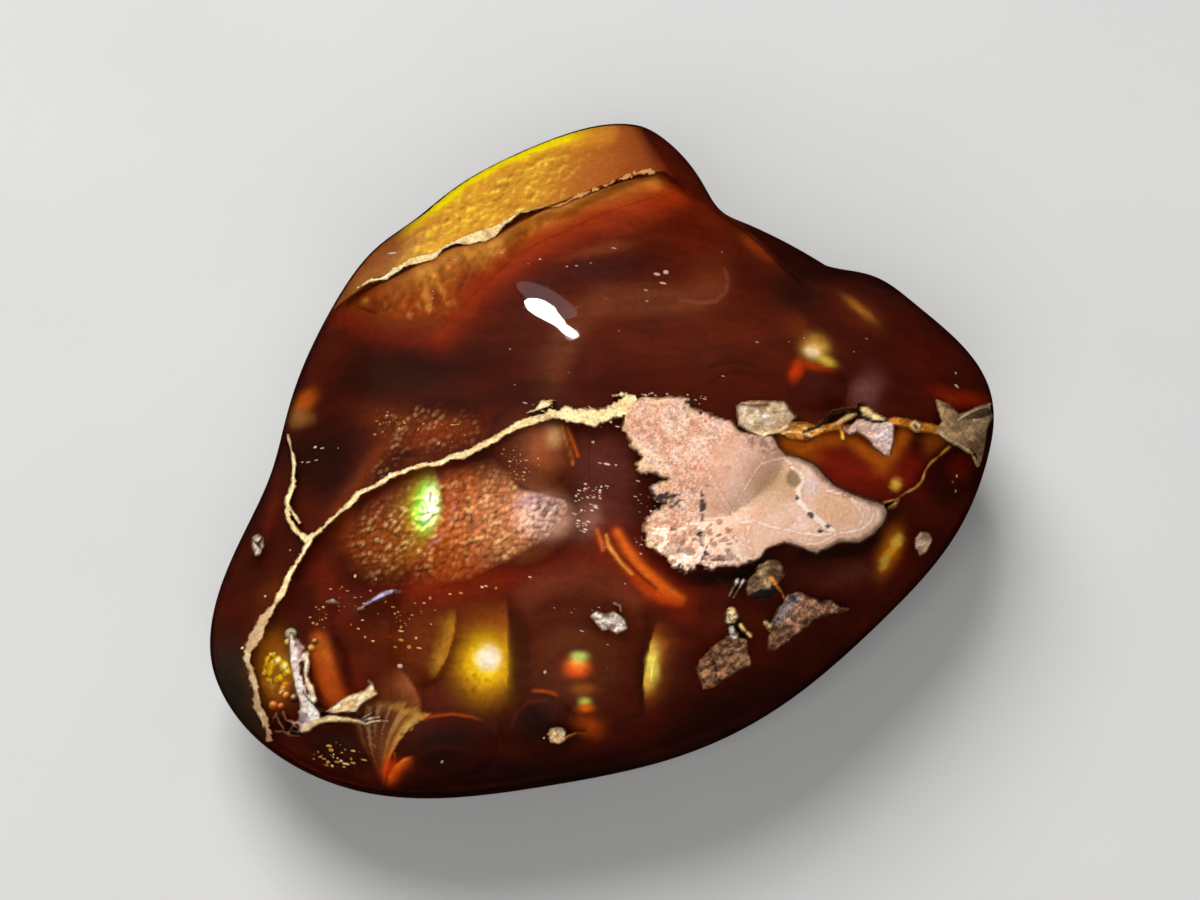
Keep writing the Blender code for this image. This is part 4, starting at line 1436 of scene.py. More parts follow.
def host_rock_paint(x, y, square, inside):
    """Pink tuff: sugary to the left, smooth olive lobes to the right, pale veins, black grains, grey rim."""
    sugar = smooth(-6, 16, within(x + 6 * rough(x, y, 16, 80), y, SUGARY))
    own = grains(x, y, 2.9, 83)[2]
    colours = coat(x, tint(228, 186, 160))
    colours = cover(colours, [
        ((240, 206, 188), 0.6 * smooth(-0.1, 0.5, rough(x, y, 26, 84))),
        ((216, 160, 128), 0.6 * smooth(0.0, 0.6, rough(x, y, 13, 85))),
        ((244, 206, 196), 0.5 * (1 - sugar) * smooth(0.2, 0.6, rough(x * 0.7, y, 8, 79))),
    ])
    lobes = np.clip(soft_place(x, y, "olive_lobe"), 0, 1)
    colours = cover(colours, [
        ((196, 154, 112), 0.85 * lobes * fade("lobe_foot", y)),
        ((220, 172, 134), 0.8 * soft_place(x, y, "tan_lobe")),
        ((214, 200, 206), 0.5 * soft_place(x, y, "lilac_lobe")),
        ((96, 70, 46), 0.8 * soft_place(x, y, "button_rim")),
        ((152, 122, 92), 0.95 * soft_place(x, y, "button")),
    ])
    frost = 0.8 * rough(x, y, 9, 91, 4) + 0.4 * rough(x, y, 2.4, 92, 2) + 0.3 * (own - 0.5)
    colours = cover(colours, [
        ((246, 222, 206), 0.7 * sugar * smooth(-0.1, 0.4, frost)),
        ((206, 146, 118), 0.5 * sugar * smooth(0.1, 0.5, -frost)),
    ])
    pores = smooth(0.4, 0.66, rough(x, y, 6, 93, 3) + 0.25 * rough(x, y, 2.4, 94, 2)) * smooth(44, 8, inside)
    colours = lay(colours, tint(110, 62, 50), 0.75 * sugar * pores)
    crumbs = smooth(10, 2, inside) * smooth(0.0, 0.3, rough(x, y, 5, 86))
    colours = cover(colours, [
        ((246, 214, 140), 0.6 * crumbs * fade("cream_crumbs_end", x)),
        ((112, 84, 60), 0.85 * smooth(8, 2, inside + 3 * rough(x, y, 8, 89)) * fade("grey_rim_start", x)),
        ((150, 106, 74), 0.7 * soft_place(x, y, "brown_crumbs") * (own > 0.5)),
    ])
    black = np.maximum.reduce([spot(x, y, *patch, 1.2) for patch in BLACK_PATCHES])
    mixed = black + 0.5 * (own - 0.5) + 0.5 * rough(x, y, 4.5, 87)
    colours = lay(colours, tint(34, 26, 30), 0.92 * smooth(0.62, 0.86, mixed))
    specks = smooth(0.5, 0.8, black * 0.6 + own) * (own > 0.9) * sugar * smooth(0.02, 0.2, black)
    colours = lay(colours, tint(30, 24, 34), 0.8 * specks)
    for path in ROCK_VEINS:
        vein = along(x, y, path) - 0.55 + 0.9 * rough(x, y, 4, 89)
        colours = cover(colours, [
            ((206, 140, 104), 0.4 * smooth(-3.4, -0.8, vein)),
            ((250, 232, 216), 0.85 * smooth(-0.8, 0.5, vein)),
        ])
    holes = np.maximum.reduce([spot(x, y, *patch, 2) for patch in BLACK_PATCHES[6:10]])
    colours = cover(colours, [
        ((30, 22, 20), 0.9 * smooth(0.4, 0.6, holes + 0.2 * rough(x, y, 3, 87))),
        ((60, 34, 20), 0.85 * smooth(1.2, -0.8, inside)),
    ])
    # Painted shade: darker towards the lower right.
    colours = colours * (1.06 - 0.46 * fade("rock_shade", x, y))[..., None]
    return np.clip(colours, 0, 1), 0.15 + 0.45 * sugar


def host_rock_relief(x, y, inside):
    """Shallow hollows and pores in the left part, from the noise that darkens the pores."""
    open_grain = fade("open_grain_end", x)
    pores = smooth(0.36, 0.6, rough(x, y, 6, 93, 3) + 0.25 * rough(x, y, 2.4, 94, 2))
    return (0.05 * smooth(0.2, 0.55, rough(x, y, 9, 90)) + 0.07 * pores) * open_grain


# ---------------------------------------------------------------- small stones, veins and chips
# Each: darker colour, paler colour, size of the mottling, then an outline, or a vein with half widths.
RIGHT_SEAM = {
    "amber_bed": ((128, 62, 10), (232, 156, 50), 9, [
        (776, 428, 4), (790, 430, 9), (804, 432, 10), (818, 430, 5), (836, 426, 4), (850, 430, 5),
        (868, 424, 3), (896, 421, 4), (912, 425, 5), (930, 428, 5), (944, 432, 4)]),
    "quartz_window": ((168, 130, 92), (240, 220, 190), 10, [
        (737, 406), (742, 402), (757, 401), (770, 401), (784, 402), (790, 409), (797, 417), (790, 424),
        (784, 432), (770, 433), (748, 431), (738, 425)]),
    "window_lid": ((90, 58, 38), (150, 110, 80), 6, [(742, 405, 1), (756, 405, 1.4), (770, 405, 0.8)]),
    "window_foot": ((196, 144, 96), (250, 230, 190), 5, [
        (750, 430, 2), (764, 434, 4), (776, 430, 3), (786, 426, 2)]),
    "quartz_wedge": ((196, 160, 144), (244, 220, 206), 12, [
        (843, 427), (848, 430), (856, 419), (870, 420), (888, 421), (894, 424), (894, 440), (890, 456),
        (884, 455), (874, 447), (866, 438), (856, 432), (850, 436)]),
    "wedge_facet": ((214, 190, 186), (246, 232, 230), 9, [
        (880, 424), (892, 426), (891, 440), (884, 446), (878, 436)]),
    "grey_end": ((146, 110, 76), (232, 200, 152), 12, [
        (936, 400), (949, 404), (959, 415), (975, 408), (990, 403), (994, 417), (988, 428), (986, 441),
        (980, 466), (973, 450), (960, 447), (946, 439), (936, 431), (942, 421), (938, 411)]),
    "end_shade": ((70, 48, 34), (110, 84, 60), 9, [(968, 417, 2), (978, 414, 5), (988, 412, 4)]),
    "left_sliver": ((214, 160, 96), (250, 218, 156), 6, [
        (832, 424, 1.0), (842, 421, 3), (850, 416, 3.4), (856, 414, 2)]),
    "right_sliver": ((214, 164, 104), (252, 222, 164), 6, [
        (862, 410, 3), (866, 412, 5), (874, 416, 3.6), (884, 419, 2)]),
    "amber_lines": ((226, 170, 80), (255, 226, 150), 4, [
        (795, 424, 0.8), (806, 428, 1.0), (814, 431, 1.2), (826, 428, 1)]),
    "bed_threads": ((240, 200, 120), (255, 236, 180), 4, [
        (782, 433, 1), (792, 431, 1.1), (804, 433, 1.2), (812, 436, 1)]),
    "gold_drop": ((232, 150, 30), (255, 206, 90), 6, [(842, 432, 2), (843, 438, 3)]),
    "end_rim": ((206, 170, 110), (250, 232, 180), 5, [
        (938, 430, 1.6), (948, 440, 1.4), (960, 446, 1.8), (972, 453, 1.6), (978, 465, 1.6)]),
    "end_thread": ((206, 170, 130), (255, 240, 214), 5, [
        (958, 420, 1.0), (968, 413, 1.3), (979, 408, 1.2), (991, 404, 1)]),
    "quartz_star": ((255, 255, 255), (255, 255, 255), 5, [(765, 416, 2.6), (767, 416, 2.6)]),
    "ring_nodule": ((220, 184, 130), (250, 232, 190), 5, [
        (912, 424, 1.4), (915, 421, 1.4), (919, 425, 1.4), (918, 431, 1.4), (914, 430, 1.2),
        (912, 424, 1.4)]),
    "ring_hole": ((70, 40, 30), (110, 80, 70), 5, [(915, 425, 1.4), (916, 428, 1.4)]),
    "crack": ((14, 6, 6), (30, 14, 8), 6, [
        (803, 432, 0.7), (811, 429, 1.4), (817, 427, 1.8), (824, 422, 2.2), (829, 416, 2.0), (834, 412, 1.8),
        (846, 409, 1.6), (857, 410, 1.5), (859, 404, 1.3), (862, 403, 1)]),
    "lower_crack": ((16, 8, 6), (30, 14, 8), 6, [
        (858, 410, 1.2), (860, 416, 1.4), (868, 420, 1.5), (879, 422, 1.6), (888, 420, 1)]),
    "gold_thread": ((196, 116, 40), (240, 190, 96), 6, [
        (884, 503, 1.4), (895, 500, 1.0), (906, 493, 1.1), (916, 488, 1.3), (922, 482, 1.5), (925, 472, 1.1),
        (930, 464, 1.1), (938, 457, 1.3), (949, 447, 1.8)]),
    "tip_splinter": ((150, 100, 60), (206, 160, 110), 6, [(888, 508, 1), (894, 505, 3), (899, 500, 1.5)]),
    "grey_spot": ((196, 152, 116), (250, 222, 190), 9, [
        (915, 538), (921, 532), (929, 533), (932, 541), (927, 552), (920, 556), (915, 548)]),
}
LOWER_RIGHT = {
    "hollow": ((16, 8, 6), (34, 20, 12), 9, [(752, 593, 3), (762, 594, 6), (774, 591, 4)]),
    "grey_window": ((96, 64, 38), (182, 154, 116), 12, [
        (746, 590), (750, 581), (759, 566), (766, 560), (781, 562), (785, 576), (777, 584), (769, 588),
        (757, 590), (747, 596)]),
    "rock_by_rim": ((110, 66, 44), (208, 158, 124), 6, [
        (786, 600), (793, 593), (800, 592), (810, 598), (821, 600), (831, 600), (840, 607), (849, 609),
        (838, 613), (824, 615), (814, 619), (802, 631), (791, 639), (783, 644), (776, 650), (768, 649),
        (768, 641), (771, 633), (768, 627), (770, 620), (778, 618), (780, 610)]),
    "rim_quartz": ((104, 84, 78), (172, 156, 156), 7, [
        (776, 622, 4), (784, 612, 6), (790, 600, 6), (798, 597, 3)]),
    "rim_crumbs": ((84, 52, 30), (160, 118, 84), 5, [(771, 646, 2), (776, 636, 6), (786, 630, 5)]),
    "rock_below": ((70, 40, 22), (196, 146, 104), 3.6, [
        (723, 640), (730, 636), (740, 638), (747, 640), (749, 650), (751, 665), (742, 669), (731, 674),
        (723, 681), (712, 688), (704, 688), (699, 677), (696, 670), (700, 660), (709, 650), (716, 643)]),
    "cream_lump": ((224, 184, 122), (255, 236, 190), 6, [(731, 612, 5), (732, 617, 6.5), (730, 621, 5)]),
    "white_lump": ((196, 184, 176), (250, 246, 244), 7, [(732, 629, 4), (734, 634, 4)]),
    "lump_crack": ((24, 14, 14), (40, 26, 24), 6, [(727, 624, 1.4), (733, 625, 1.6), (738, 622, 1.4)]),
    "lump_beads": ((200, 144, 80), (250, 214, 150), 4, [
        (741, 625, 2.4), (744, 629, 2.6), (748, 633, 2.2), (751, 636, 1.8)]),
    "small_lump": ((214, 170, 110), (246, 216, 164), 6, [(766, 622, 3), (769, 625, 3.4)]),
    "amber_thread": ((200, 110, 20), (250, 170, 60), 6, [
        (767, 572, 0.8), (776, 584, 1.4), (782, 592, 2.0), (785, 601, 1.4)]),
    # Painted highlights: two short parallel white streaks.
    "left_highlight_streak": ((244, 246, 250), (255, 255, 255), 9, [(738, 580, 1.1), (729, 596, 1.3)]),
    "right_highlight_streak": ((236, 238, 244), (255, 255, 255), 9, [(743, 581, 1.1), (734, 597, 1.3)]),
}
LOWER_LEFT = {
    "purple_flake": ((150, 110, 100), (226, 196, 190), 5, [(296, 641, 3), (300, 648, 5), (297, 658, 4)]),
    "lilac_arm": ((226, 200, 190), (255, 250, 244), 8, [
        (291, 634, 2), (293, 648, 3), (294, 661, 4.5), (297, 677, 4.5), (303, 696, 5), (308, 708, 8),
        (312, 716, 9), (306, 726, 6), (302, 731, 2)]),
    "lilac_hollow": ((150, 124, 128), (206, 184, 190), 5, [(300, 712, 2), (304, 717, 4.5), (300, 722, 3)]),
    "white_vein": ((240, 206, 170), (255, 244, 224), 6, [
        (298, 663, 1.5), (306, 654, 3), (307, 664, 3), (305, 676, 3), (310, 688, 3.6), (314, 700, 3)]),
    "rust_between": ((110, 46, 22), (170, 84, 44), 5, [(301, 662, 1.2), (303, 672, 1.6), (304, 684, 1.4)]),
    "black_crack": ((30, 14, 12), (50, 26, 20), 6, [
        (303, 692, 0.6), (308, 699, 1.0), (316, 707, 1.2), (324, 712, 1.2), (336, 712, 1.0), (350, 712, 0.8),
        (359, 716, 0.6)]),
    "cream_wing": ((236, 190, 130), (255, 240, 206), 7, [
        (326, 711), (334, 705), (342, 699), (350, 695), (359, 692), (365, 690), (370, 686), (368, 680),
        (372, 682), (377, 694), (368, 700), (360, 706), (356, 712), (344, 712), (332, 713)]),
    "lower_arc": ((230, 196, 136), (255, 232, 186), 6, [
        (303, 731, 1.2), (310, 726, 2.2), (317, 722, 2.8), (329, 718, 3.4), (342, 719, 3.2), (351, 720, 2.6),
        (359, 721, 2.2), (366, 724, 1.4)]),
    "streak_a": ((226, 196, 160), (255, 240, 220), 5, [(361, 719, 1.2), (366, 716, 1), (372, 713, 0.5)]),
    "streak_b": ((226, 196, 160), (255, 240, 220), 5, [(363, 721, 1.2), (370, 718, 1), (380, 717, 0.5)]),
    "streak_c": ((226, 196, 160), (255, 240, 220), 5, [(365, 724, 1.3), (374, 721, 1), (388, 721, 0.4)]),
    "tangle_a": ((180, 120, 90), (232, 200, 180), 5, [
        (272, 722, 0.7), (276, 714, 1.0), (279, 722, 0.8), (284, 729, 0.8)]),
    "tangle_b": ((180, 120, 90), (232, 200, 180), 5, [
        (283, 712, 1.0), (286, 720, 1.0), (292, 722, 0.9), (296, 727, 0.8)]),
    "tangle_c": ((180, 120, 90), (232, 200, 180), 5, [
        (288, 734, 0.8), (292, 727, 1.1), (297, 722, 1.0), (301, 726, 1.0), (298, 732, 0.9),
        (293, 731, 0.7)]),
    "tangle_d": ((150, 90, 60), (214, 170, 140), 5, [
        (276, 732, 0.7), (283, 731, 1.0), (290, 735, 0.8), (300, 736, 0.7)]),
}
CHIPS = {
    "scar": ((168, 132, 104), (255, 252, 246), 3.2, [
        (590, 616), (597, 611), (606, 615), (613, 611), (625, 619), (627, 629), (617, 634), (609, 629),
        (602, 631)]),
    "scar_curl": ((206, 180, 160), (250, 236, 220), 5, [(614, 603, 0.7), (620, 606, 0.9), (621, 611, 0.7)]),
    "bottom_chip": ((206, 150, 96), (250, 222, 176), 6, [
        (547, 734), (551, 728), (560, 727), (567, 731), (566, 739), (560, 744), (551, 742)]),
    "chip_tail": ((170, 100, 40), (220, 150, 80), 6, [(566, 737, 2), (576, 733, 1.2), (586, 732, 0.6)]),
    "left_chip": ((180, 152, 128), (236, 220, 204), 6, [
        (252, 537), (258, 534), (263, 538), (264, 546), (260, 555), (255, 556), (251, 548)]),
    "chip_cross": ((20, 10, 8), (34, 18, 12), 6, [(253, 540, 0.9), (258, 545, 1.5), (262, 549, 0.8)]),
    "chip_arm": ((20, 10, 8), (34, 18, 12), 6, [(262, 538, 0.8), (259, 543, 1.2)]),
    # A scratch, painted as the lilac highlight it catches, with a darker gap and a pale end.
    "lilac_scratch_highlight": ((150, 136, 170), (206, 196, 226), 4, [
        (362, 607, 0.8), (370, 602, 2.0), (382, 595, 2.6), (392, 591, 2.0), (400, 592, 0.8)]),
    "scratch_highlight_gap": ((84, 60, 70), (110, 84, 96), 4, [(370, 604, 0.5), (382, 598, 0.9), (393, 593, 0.5)]),
    "scratch_highlight_end": ((200, 170, 150), (240, 214, 190), 4, [(358, 609, 1.4), (363, 608, 1.6)]),
    "tiny_cross": ((210, 200, 180), (255, 250, 236), 4, [(327, 602, 0.8), (333, 601, 1.6), (338, 603, 0.8)]),
}


def inside_of(x, y, points):
    """How far inside a vein, if its points have half widths, or an outline, if they have none."""
    return along(x, y, points) if len(points[0]) == 3 else within(x, y, points)


COARSE_MOTTLE = 6  # above this size of mottling the grains have hairlines between them


def patchwork(name, parts, spacing, material, ragged=0.9, rise=0.03, sugar=0.5):
    """One inlay of several stones, each laid over the one before it.

    A stone's colour runs from its darker to its paler one by noise and by the own value of grains, with
    hairlines between the grains, and its border is darker.
    """
    places = np.concatenate([np.asarray(part[3], float)[:, :2] for part in parts.values()])
    left, top = places.min(0) - 7
    right, bottom = places.max(0) + 7

    def worn(x, y):
        return ragged * (rough(x, y, 7, 101) + 0.4 * rough(x, y, 2.6, 102))

    def shape(x, y):
        return np.maximum.reduce([inside_of(x, y, part[3]) for part in parts.values()]) + worn(x, y)

    def paint(x, y, square, inside):
        colours = coat(x, AMBER * 0.6)
        for number, (dark, pale, size, points) in enumerate(parts.values()):
            own = inside_of(x, y, points) + worn(x, y) * (0.5 if len(points[0]) == 3 else 1)
            near, next_near, cell = grains(x + 0.3 * y, y * 0.8, size, 111 + number)
            share = 0.5 + 0.55 * rough(x, y, size * 1.4, 103 + number) + 0.5 * (cell - 0.5)
            stone_tone = lay(coat(x, tint(*dark)), tint(*pale), smooth(0.05, 0.95, share))
            hairline = 1 - 0.3 * smooth(0.14, 0.04, next_near - near) * (size > COARSE_MOTTLE)
            stone_tone = stone_tone * (hairline * (0.84 + 0.16 * smooth(0, 1.6, own)))[..., None]
            weight = smooth(-0.5, 0.5, own)[..., None]
            colours = colours * (1 - weight) + stone_tone * weight
        # Painted light and shade over all the stones: lighter on the sides of a noise relief towards the top,
        # darker on the others.
        crumbs = lit_side(lambda u, v: 3 * rough(u, v, 6, 105, 3), x, y, 1.0)
        return np.clip(colours * (1 + sugar * np.clip(crumbs, -0.7, 0.6))[..., None], 0, 1), sugar

    box = left, top, right, bottom, spacing
    return inlay(name, shape, paint, material, rise, mark="sugar", box=box)


NUGGETS = {  # right, down, radius, colour
    "ember_a": (286, 695, 4, (255, 140, 40)),
    "ember_b": (273, 705, 5, (255, 130, 30)),
    "ember_c": (281, 706, 4, (230, 100, 20)),
    "dark_bead": (294, 698, 5, (90, 50, 20)),
    "pearl": (291, 634, 6.5, (196, 214, 200)),
    "pearl_foot": (288, 642, 4, (240, 226, 110)),
    "bubble": (315, 641, 3.6, (150, 104, 40)),
    "side_bubble": (311, 648, 4, (246, 186, 90)),
}
CLUSTER, CLUSTER_LEAN = (277, 673), (276, 672)  # its middle, and where its lean is measured from


def cluster(x, y):
    """How far inside the gold cluster a place is, and its lumps: caps of sqrt(1 - d^2) on bent grains."""
    right, down = x - CLUSTER[0] - 0.2 * (y - CLUSTER_LEAN[1]), y - CLUSTER[1]
    away = 1 - np.hypot(right / 16, down / 20) + 0.35 * rough(x, y, 9, 122)
    bent = 3.5 * rough(x, y, 9, 123)
    near, next_near, own = grains(x + bent, y + 0.4 * (x - CLUSTER_LEAN[0]) - bent, 9.5, 121, 0.95)
    caps = np.sqrt(np.clip(1 - (near / (0.5 + 0.12 * own)) ** 2, 0, 1))
    return away * 12, caps * smooth(0, 0.08, next_near - near)


def nugget_paint(x, y, square, inside):
    """Amber between gold lumps with painted highlights on their crowns, orange below; single beads painted as
    lit from above, with a painted gleam.
    """
    colours, lustre = tones(x, y, square)
    away, lump = cluster(x, y)
    held = smooth(0, 2.5, away)
    sunny = 0.9 + 0.5 * rough(x, y, 10, 124)
    # Gold on the lumps, with painted highlights on their crowns.
    colours = cover(colours, [
        ((150, 92, 16), 0.9 * held),
        ((255, 226, 24), held * smooth(0.0, 0.6, lump) * sunny),
        ((255, 150, 40), held * fade("cluster_orange", y) * smooth(0.1, 0.5, lump)),
        ((255, 255, 196), held * smooth(0.8, 0.95, lump * sunny)),
    ])
    # Each single bead painted lighter towards the top, with a dark ring round it and a painted gleam.
    for cx, cy, radius, colour in NUGGETS.values():
        away = np.hypot(x - cx, y - cy) / radius
        lit = smooth(0.9, -0.7, (y - cy + 0.5 * (x - cx)) / radius)
        colours = lay(colours, tint(*colour) * (0.4 + 0.9 * lit)[..., None], 0.95 * smooth(1.05, 0.85, away))
        colours = colours * (1 - 0.6 * np.exp(-(((away - 1.05) / 0.16) ** 2)))[..., None]
        gleam = spot(x, y, cx - radius * 0.2, cy - radius * 0.35, radius * 0.4, radius * 0.28, -30)
        colours = lay(colours, tint(255, 250, 206), 0.9 * gleam)
    return colours, np.clip(lustre + 0.3, 0, 1)


def nugget_shape(x, y):
    """How far inside the cluster or the nearest single bead a place is."""
    balls = [r - np.hypot(x - cx, y - cy) for cx, cy, r, _ in NUGGETS.values()]
    return np.maximum.reduce([cluster(x, y)[0], *balls]) + 0.5


def nugget_relief(x, y, inside):
    """Low caps on the single beads, or the cluster's lumps, whichever is higher."""
    caps = [np.sqrt(np.maximum(1 - ((x - cx) ** 2 + (y - cy) ** 2) / r**2, 0)) * r
            for cx, cy, r, _ in NUGGETS.values()]
    away, lump = cluster(x, y)
    return -np.maximum(0.03 * np.maximum.reduce(caps), 0.16 * lump * smooth(0, 3, away))


# ---------------------------------------------------------------- flecks: tiny inclusions near the polish
WHITE_SPOTS = [  # right, down, radius in view units
    # The three spots by (660, 277) are painted reflections in small pits.
    (392, 253, 2.6), (657, 274, 2.4), (666, 272, 2.8), (663, 283, 2.0), (646, 290, 1.2), (647, 301, 1.0),
    (510, 349, 1.0), (543, 411, 1.2), (315, 447, 1.6), (322, 448, 1.2), (338, 448, 0.8), (302, 462, 1.0),
    (308, 462, 1.4), (316, 460, 1.2), (290, 550, 1.0), (265, 596, 1.2), (400, 666, 2.2), (545, 672, 1.6),
    (582, 631, 1.0), (757, 342, 1.0), (723, 376, 1.0), (722, 252, 1.0), (614, 248, 1.2), (540, 259, 1.2),
    (956, 373, 1.2), (957, 386, 1.8), (544, 738, 1.0), (442, 762, 1.6), (242, 648, 1.6), (530, 577, 1.0),
    (593, 442, 1.6), (600, 463, 1.2), (607, 464, 1.8), (616, 465, 1.2),
]
WHITE_FIELDS = [  # right, down, half sizes, count, radius
    (586, 500, 12, 16, 34, 1.2), (582, 524, 9, 8, 14, 1.1), (598, 488, 8, 5, 10, 1.1),
    (648, 500, 16, 26, 20, 1.1), (560, 300, 120, 90, 16, 0.7), (600, 610, 50, 60, 14, 0.6),
    (600, 425, 20, 8, 10, 1.1), (695, 398, 30, 5, 12, 1.1), (545, 405, 20, 5, 8, 1.0),
    (640, 395, 24, 5, 10, 1.1), (850, 350, 80, 50, 6, 0.7), (640, 545, 8, 20, 8, 0.8),
]
GOLD_SPOTS = [
    (329, 746, 2.0), (331, 750, 2.2), (318, 752, 1.2), (320, 757, 1.4), (324, 759, 1.6), (328, 762, 1.8),
    (333, 757, 1.2), (337, 762, 2.0), (341, 761, 1.6), (346, 764, 2.2), (351, 759, 1.4), (353, 763, 1.8),
    (353, 751, 1.6), (364, 760, 1.8), (327, 765, 2.0), (332, 766, 1.6), (344, 767, 1.4), (401, 627, 1.2),
    (401, 631, 1.6), (401, 640, 1.8), (395, 647, 1.4), (409, 647, 1.9), (419, 648, 1.4), (416, 638, 1.4),
    (365, 637, 1.1), (373, 641, 1.2), (355, 576, 1.6), (376, 579, 1.2), (482, 587, 1.4), (486, 586, 1.2),
    (496, 588, 1.3), (461, 593, 1.3), (450, 594, 1.0), (430, 598, 1.4), (424, 603, 1.2), (313, 623, 1.3),
    (317, 624, 1.2), (323, 607, 1.2), (316, 607, 1.0), (393, 607, 1.3), (398, 612, 1.0), (412, 615, 1.0),
    (957, 476, 1.6), (956, 491, 1.4), (953, 482, 1.0),
]
GOLD_FIELDS = [
    (388, 424, 14, 12, 22, 0.9), (352, 600, 26, 30, 18, 0.8), (520, 465, 16, 16, 26, 0.8),
    (510, 455, 10, 8, 12, 0.9), (450, 430, 30, 14, 16, 0.8), (334, 755, 22, 12, 16, 0.8),
    (405, 620, 30, 22, 20, 0.7), (322, 616, 12, 10, 12, 0.9),
]
FLECK_RINGS, FLECK_AROUND = 5, 8
FLECK_DEPTH = 0.1


def flecks(name, spots, fields, colours, stretch):
    """Small closed grains: each a squashed ball on 5 rings of 8, set a little under the polish."""
    spots = list(spots)
    for number, (cx, cy, rx, ry, count, radius) in enumerate(fields):
        k = np.arange(count)
        u = scatter(k, number + 3, 201) + scatter(k, number + 5, 205) - 1
        v = scatter(k, number + 9, 202) + scatter(k, number + 7, 206) - 1
        size = radius * (0.4 + 0.9 * scatter(k, number, 203) ** 2)
        spots += list(zip(cx + 1.3 * rx * u, cy + 1.3 * ry * v, size))
    spots = np.array(spots, float)
    coords = on_stone(spots[:, :2])
    centres, _, _, skin = sunk(*coords.T, lambda x, y, square, points: np.full(x.shape, FLECK_DEPTH))
    normal = outward(heading(*coords.T), skin)
    side = unit(np.cross(normal, [[0.25, 1.0, 0.0]]))
    other = np.cross(normal, side)
    lean = np.linspace(0, math.pi, FLECK_RINGS + 2)[1:-1, None, None]
    turn = np.linspace(0, 2 * math.pi, FLECK_AROUND, endpoint=False)[None, :, None]
    level = np.sin(lean)
    ball = np.stack([level * np.cos(turn), level * np.sin(turn), np.cos(lean) + 0 * turn], -1)[:, :, 0]
    ball = with_poles(ball)
    ball[0], ball[-1] = (0, 0, 1), (0, 0, -1)
    radius = spots[:, 2] / VIEW_UNITS_PER_MM
    shapes = scatter(np.arange(len(spots)), 5, 204)
    body = (centres[:, None]
            + (radius * (0.8 + stretch * shapes))[:, None, None] * ball[None, :, :1] * side[:, None]
            + (radius * (1.1 - 0.6 * shapes))[:, None, None] * ball[None, :, 1:2] * other[:, None]
            + np.minimum(radius * 0.5, 0.05)[:, None, None] * ball[None, :, 2:] * normal[:, None])
    one = np.array([face + [-1] * (4 - len(face)) for face in ring_faces(FLECK_RINGS, FLECK_AROUND)])
    moved = np.where(one < 0, -1, one + len(ball) * np.arange(len(spots))[:, None, None]).reshape(-1, 4)
    faces = [tuple(v for v in face if v >= 0) for face in moved.tolist()]
    share = scatter(np.arange(len(spots)), 8, 207)[:, None]
    own = tint(*colours[0]) * (1 - share) + tint(*colours[1]) * share
    painted = np.broadcast_to(own[:, None], body.shape).copy()
    return new_object(name, body, faces, SEAM_CRUST, painted, {"sugar": np.zeros(painted.shape[:2])})


def make_inside():
    """The core of fire layers, then each inlay from the top of the view to its foot, then the flecks."""
    fire_core()
    inlay("gold_foil_layer", lambda x, y: within(x, y, GOLD_FACE), gold_paint, GOLD_FOIL,
          0.22, gold_relief, (-0.8, 1.2))
    inlay("honey_shelf_layer", lambda x, y: within(x, y, HONEY_SHELF) - 1, shelf_paint, FIRE_LAYERS,
          None, shelf_relief, (-6, 0))
    ribbon("upper_cream_seam", UPPER_SEAM, ragged_seam([UPPER_SEAM]), upper_seam_paint, SEAM_CRUST, 0.17)
    inlay("granular_fire_layer", granular_shape, granular_paint, FIRE_LAYERS, None, granular_relief, (-9, 1))
    both_seams = ragged_seam([MAIN_SEAM, BRANCH_SEAM])
    ribbon("main_cream_seam", MAIN_SEAM, both_seams, crust_paint, SEAM_CRUST)
    ribbon("left_branch_seam", BRANCH_SEAM, both_seams, crust_paint, SEAM_CRUST, 0.035)
    for number, sprig in enumerate(SEAM_SPRIGS):
        ribbon(f"seam_sprig_{number + 1}", sprig, ragged_seam([sprig]), crust_paint, SEAM_CRUST)
    inlay("host_rock_patch", host_rock_shape, host_rock_paint, HOST_STONE, 0.02, host_rock_relief,
          mark="sugar")
    patchwork("right_seam", RIGHT_SEAM, 0.06, HOST_STONE, 1.3, 0.03, 0.4)
    patchwork("lower_right_rocks", LOWER_RIGHT, 0.055, HOST_STONE, 2.4, 0.03, 0.8)
    patchwork("lower_left_crust", LOWER_LEFT, 0.05, SEAM_CRUST, 1.4, 0.03, 0.3)
    for name, chips in (("small_scar", ("scar", "scar_curl")), ("bottom_chip", ("bottom_chip", "chip_tail")),
                        ("left_chip", ("left_chip", "chip_cross", "chip_arm")),
                        ("lilac_scratch_highlight", ("lilac_scratch_highlight", "scratch_highlight_gap", "scratch_highlight_end")),
                        ("tiny_cross", ("tiny_cross",))):
        patchwork(name, {chip: CHIPS[chip] for chip in chips}, 0.045, SEAM_CRUST, 0.9, 0.03, 0.6)
    inlay("gold_nuggets", nugget_shape, nugget_paint, GOLD_FOIL, None, nugget_relief)
    for name, (left, top, right, bottom, _) in RAISED_LAYERS.items():
        corners = [(left, top), (right, top), (right, bottom), (left, bottom)]
        inlay(name, lambda x, y, corners=corners: within(x, y, corners) - 2,
              lambda x, y, square, inside: tones(x, y, square), FIRE_LAYERS, None,
              lambda x, y, inside: -0.02, (-4, 0))
    flecks("white_flecks", WHITE_SPOTS, WHITE_FIELDS, ((206, 176, 160), (255, 250, 240)), 1.5)
    flecks("gold_specks", GOLD_SPOTS, GOLD_FIELDS, ((214, 140, 50), (255, 232, 150)), 1.0)


# ---------------------------------------------------------------- camera, light and floor
def aim(thing, target, roll=0.0):
    """Turns a camera or lamp so that its -Z axis points at a target, then rolls it about that axis."""
    back = np.array(thing.location) - np.asarray(target) * MM
    thing.rotation_mode = "QUATERNION"
    turned = Quaternion((0, 0, 1), math.radians(roll))
    thing.rotation_quaternion = Vector(back).to_track_quat("Z", "Y") @ turned


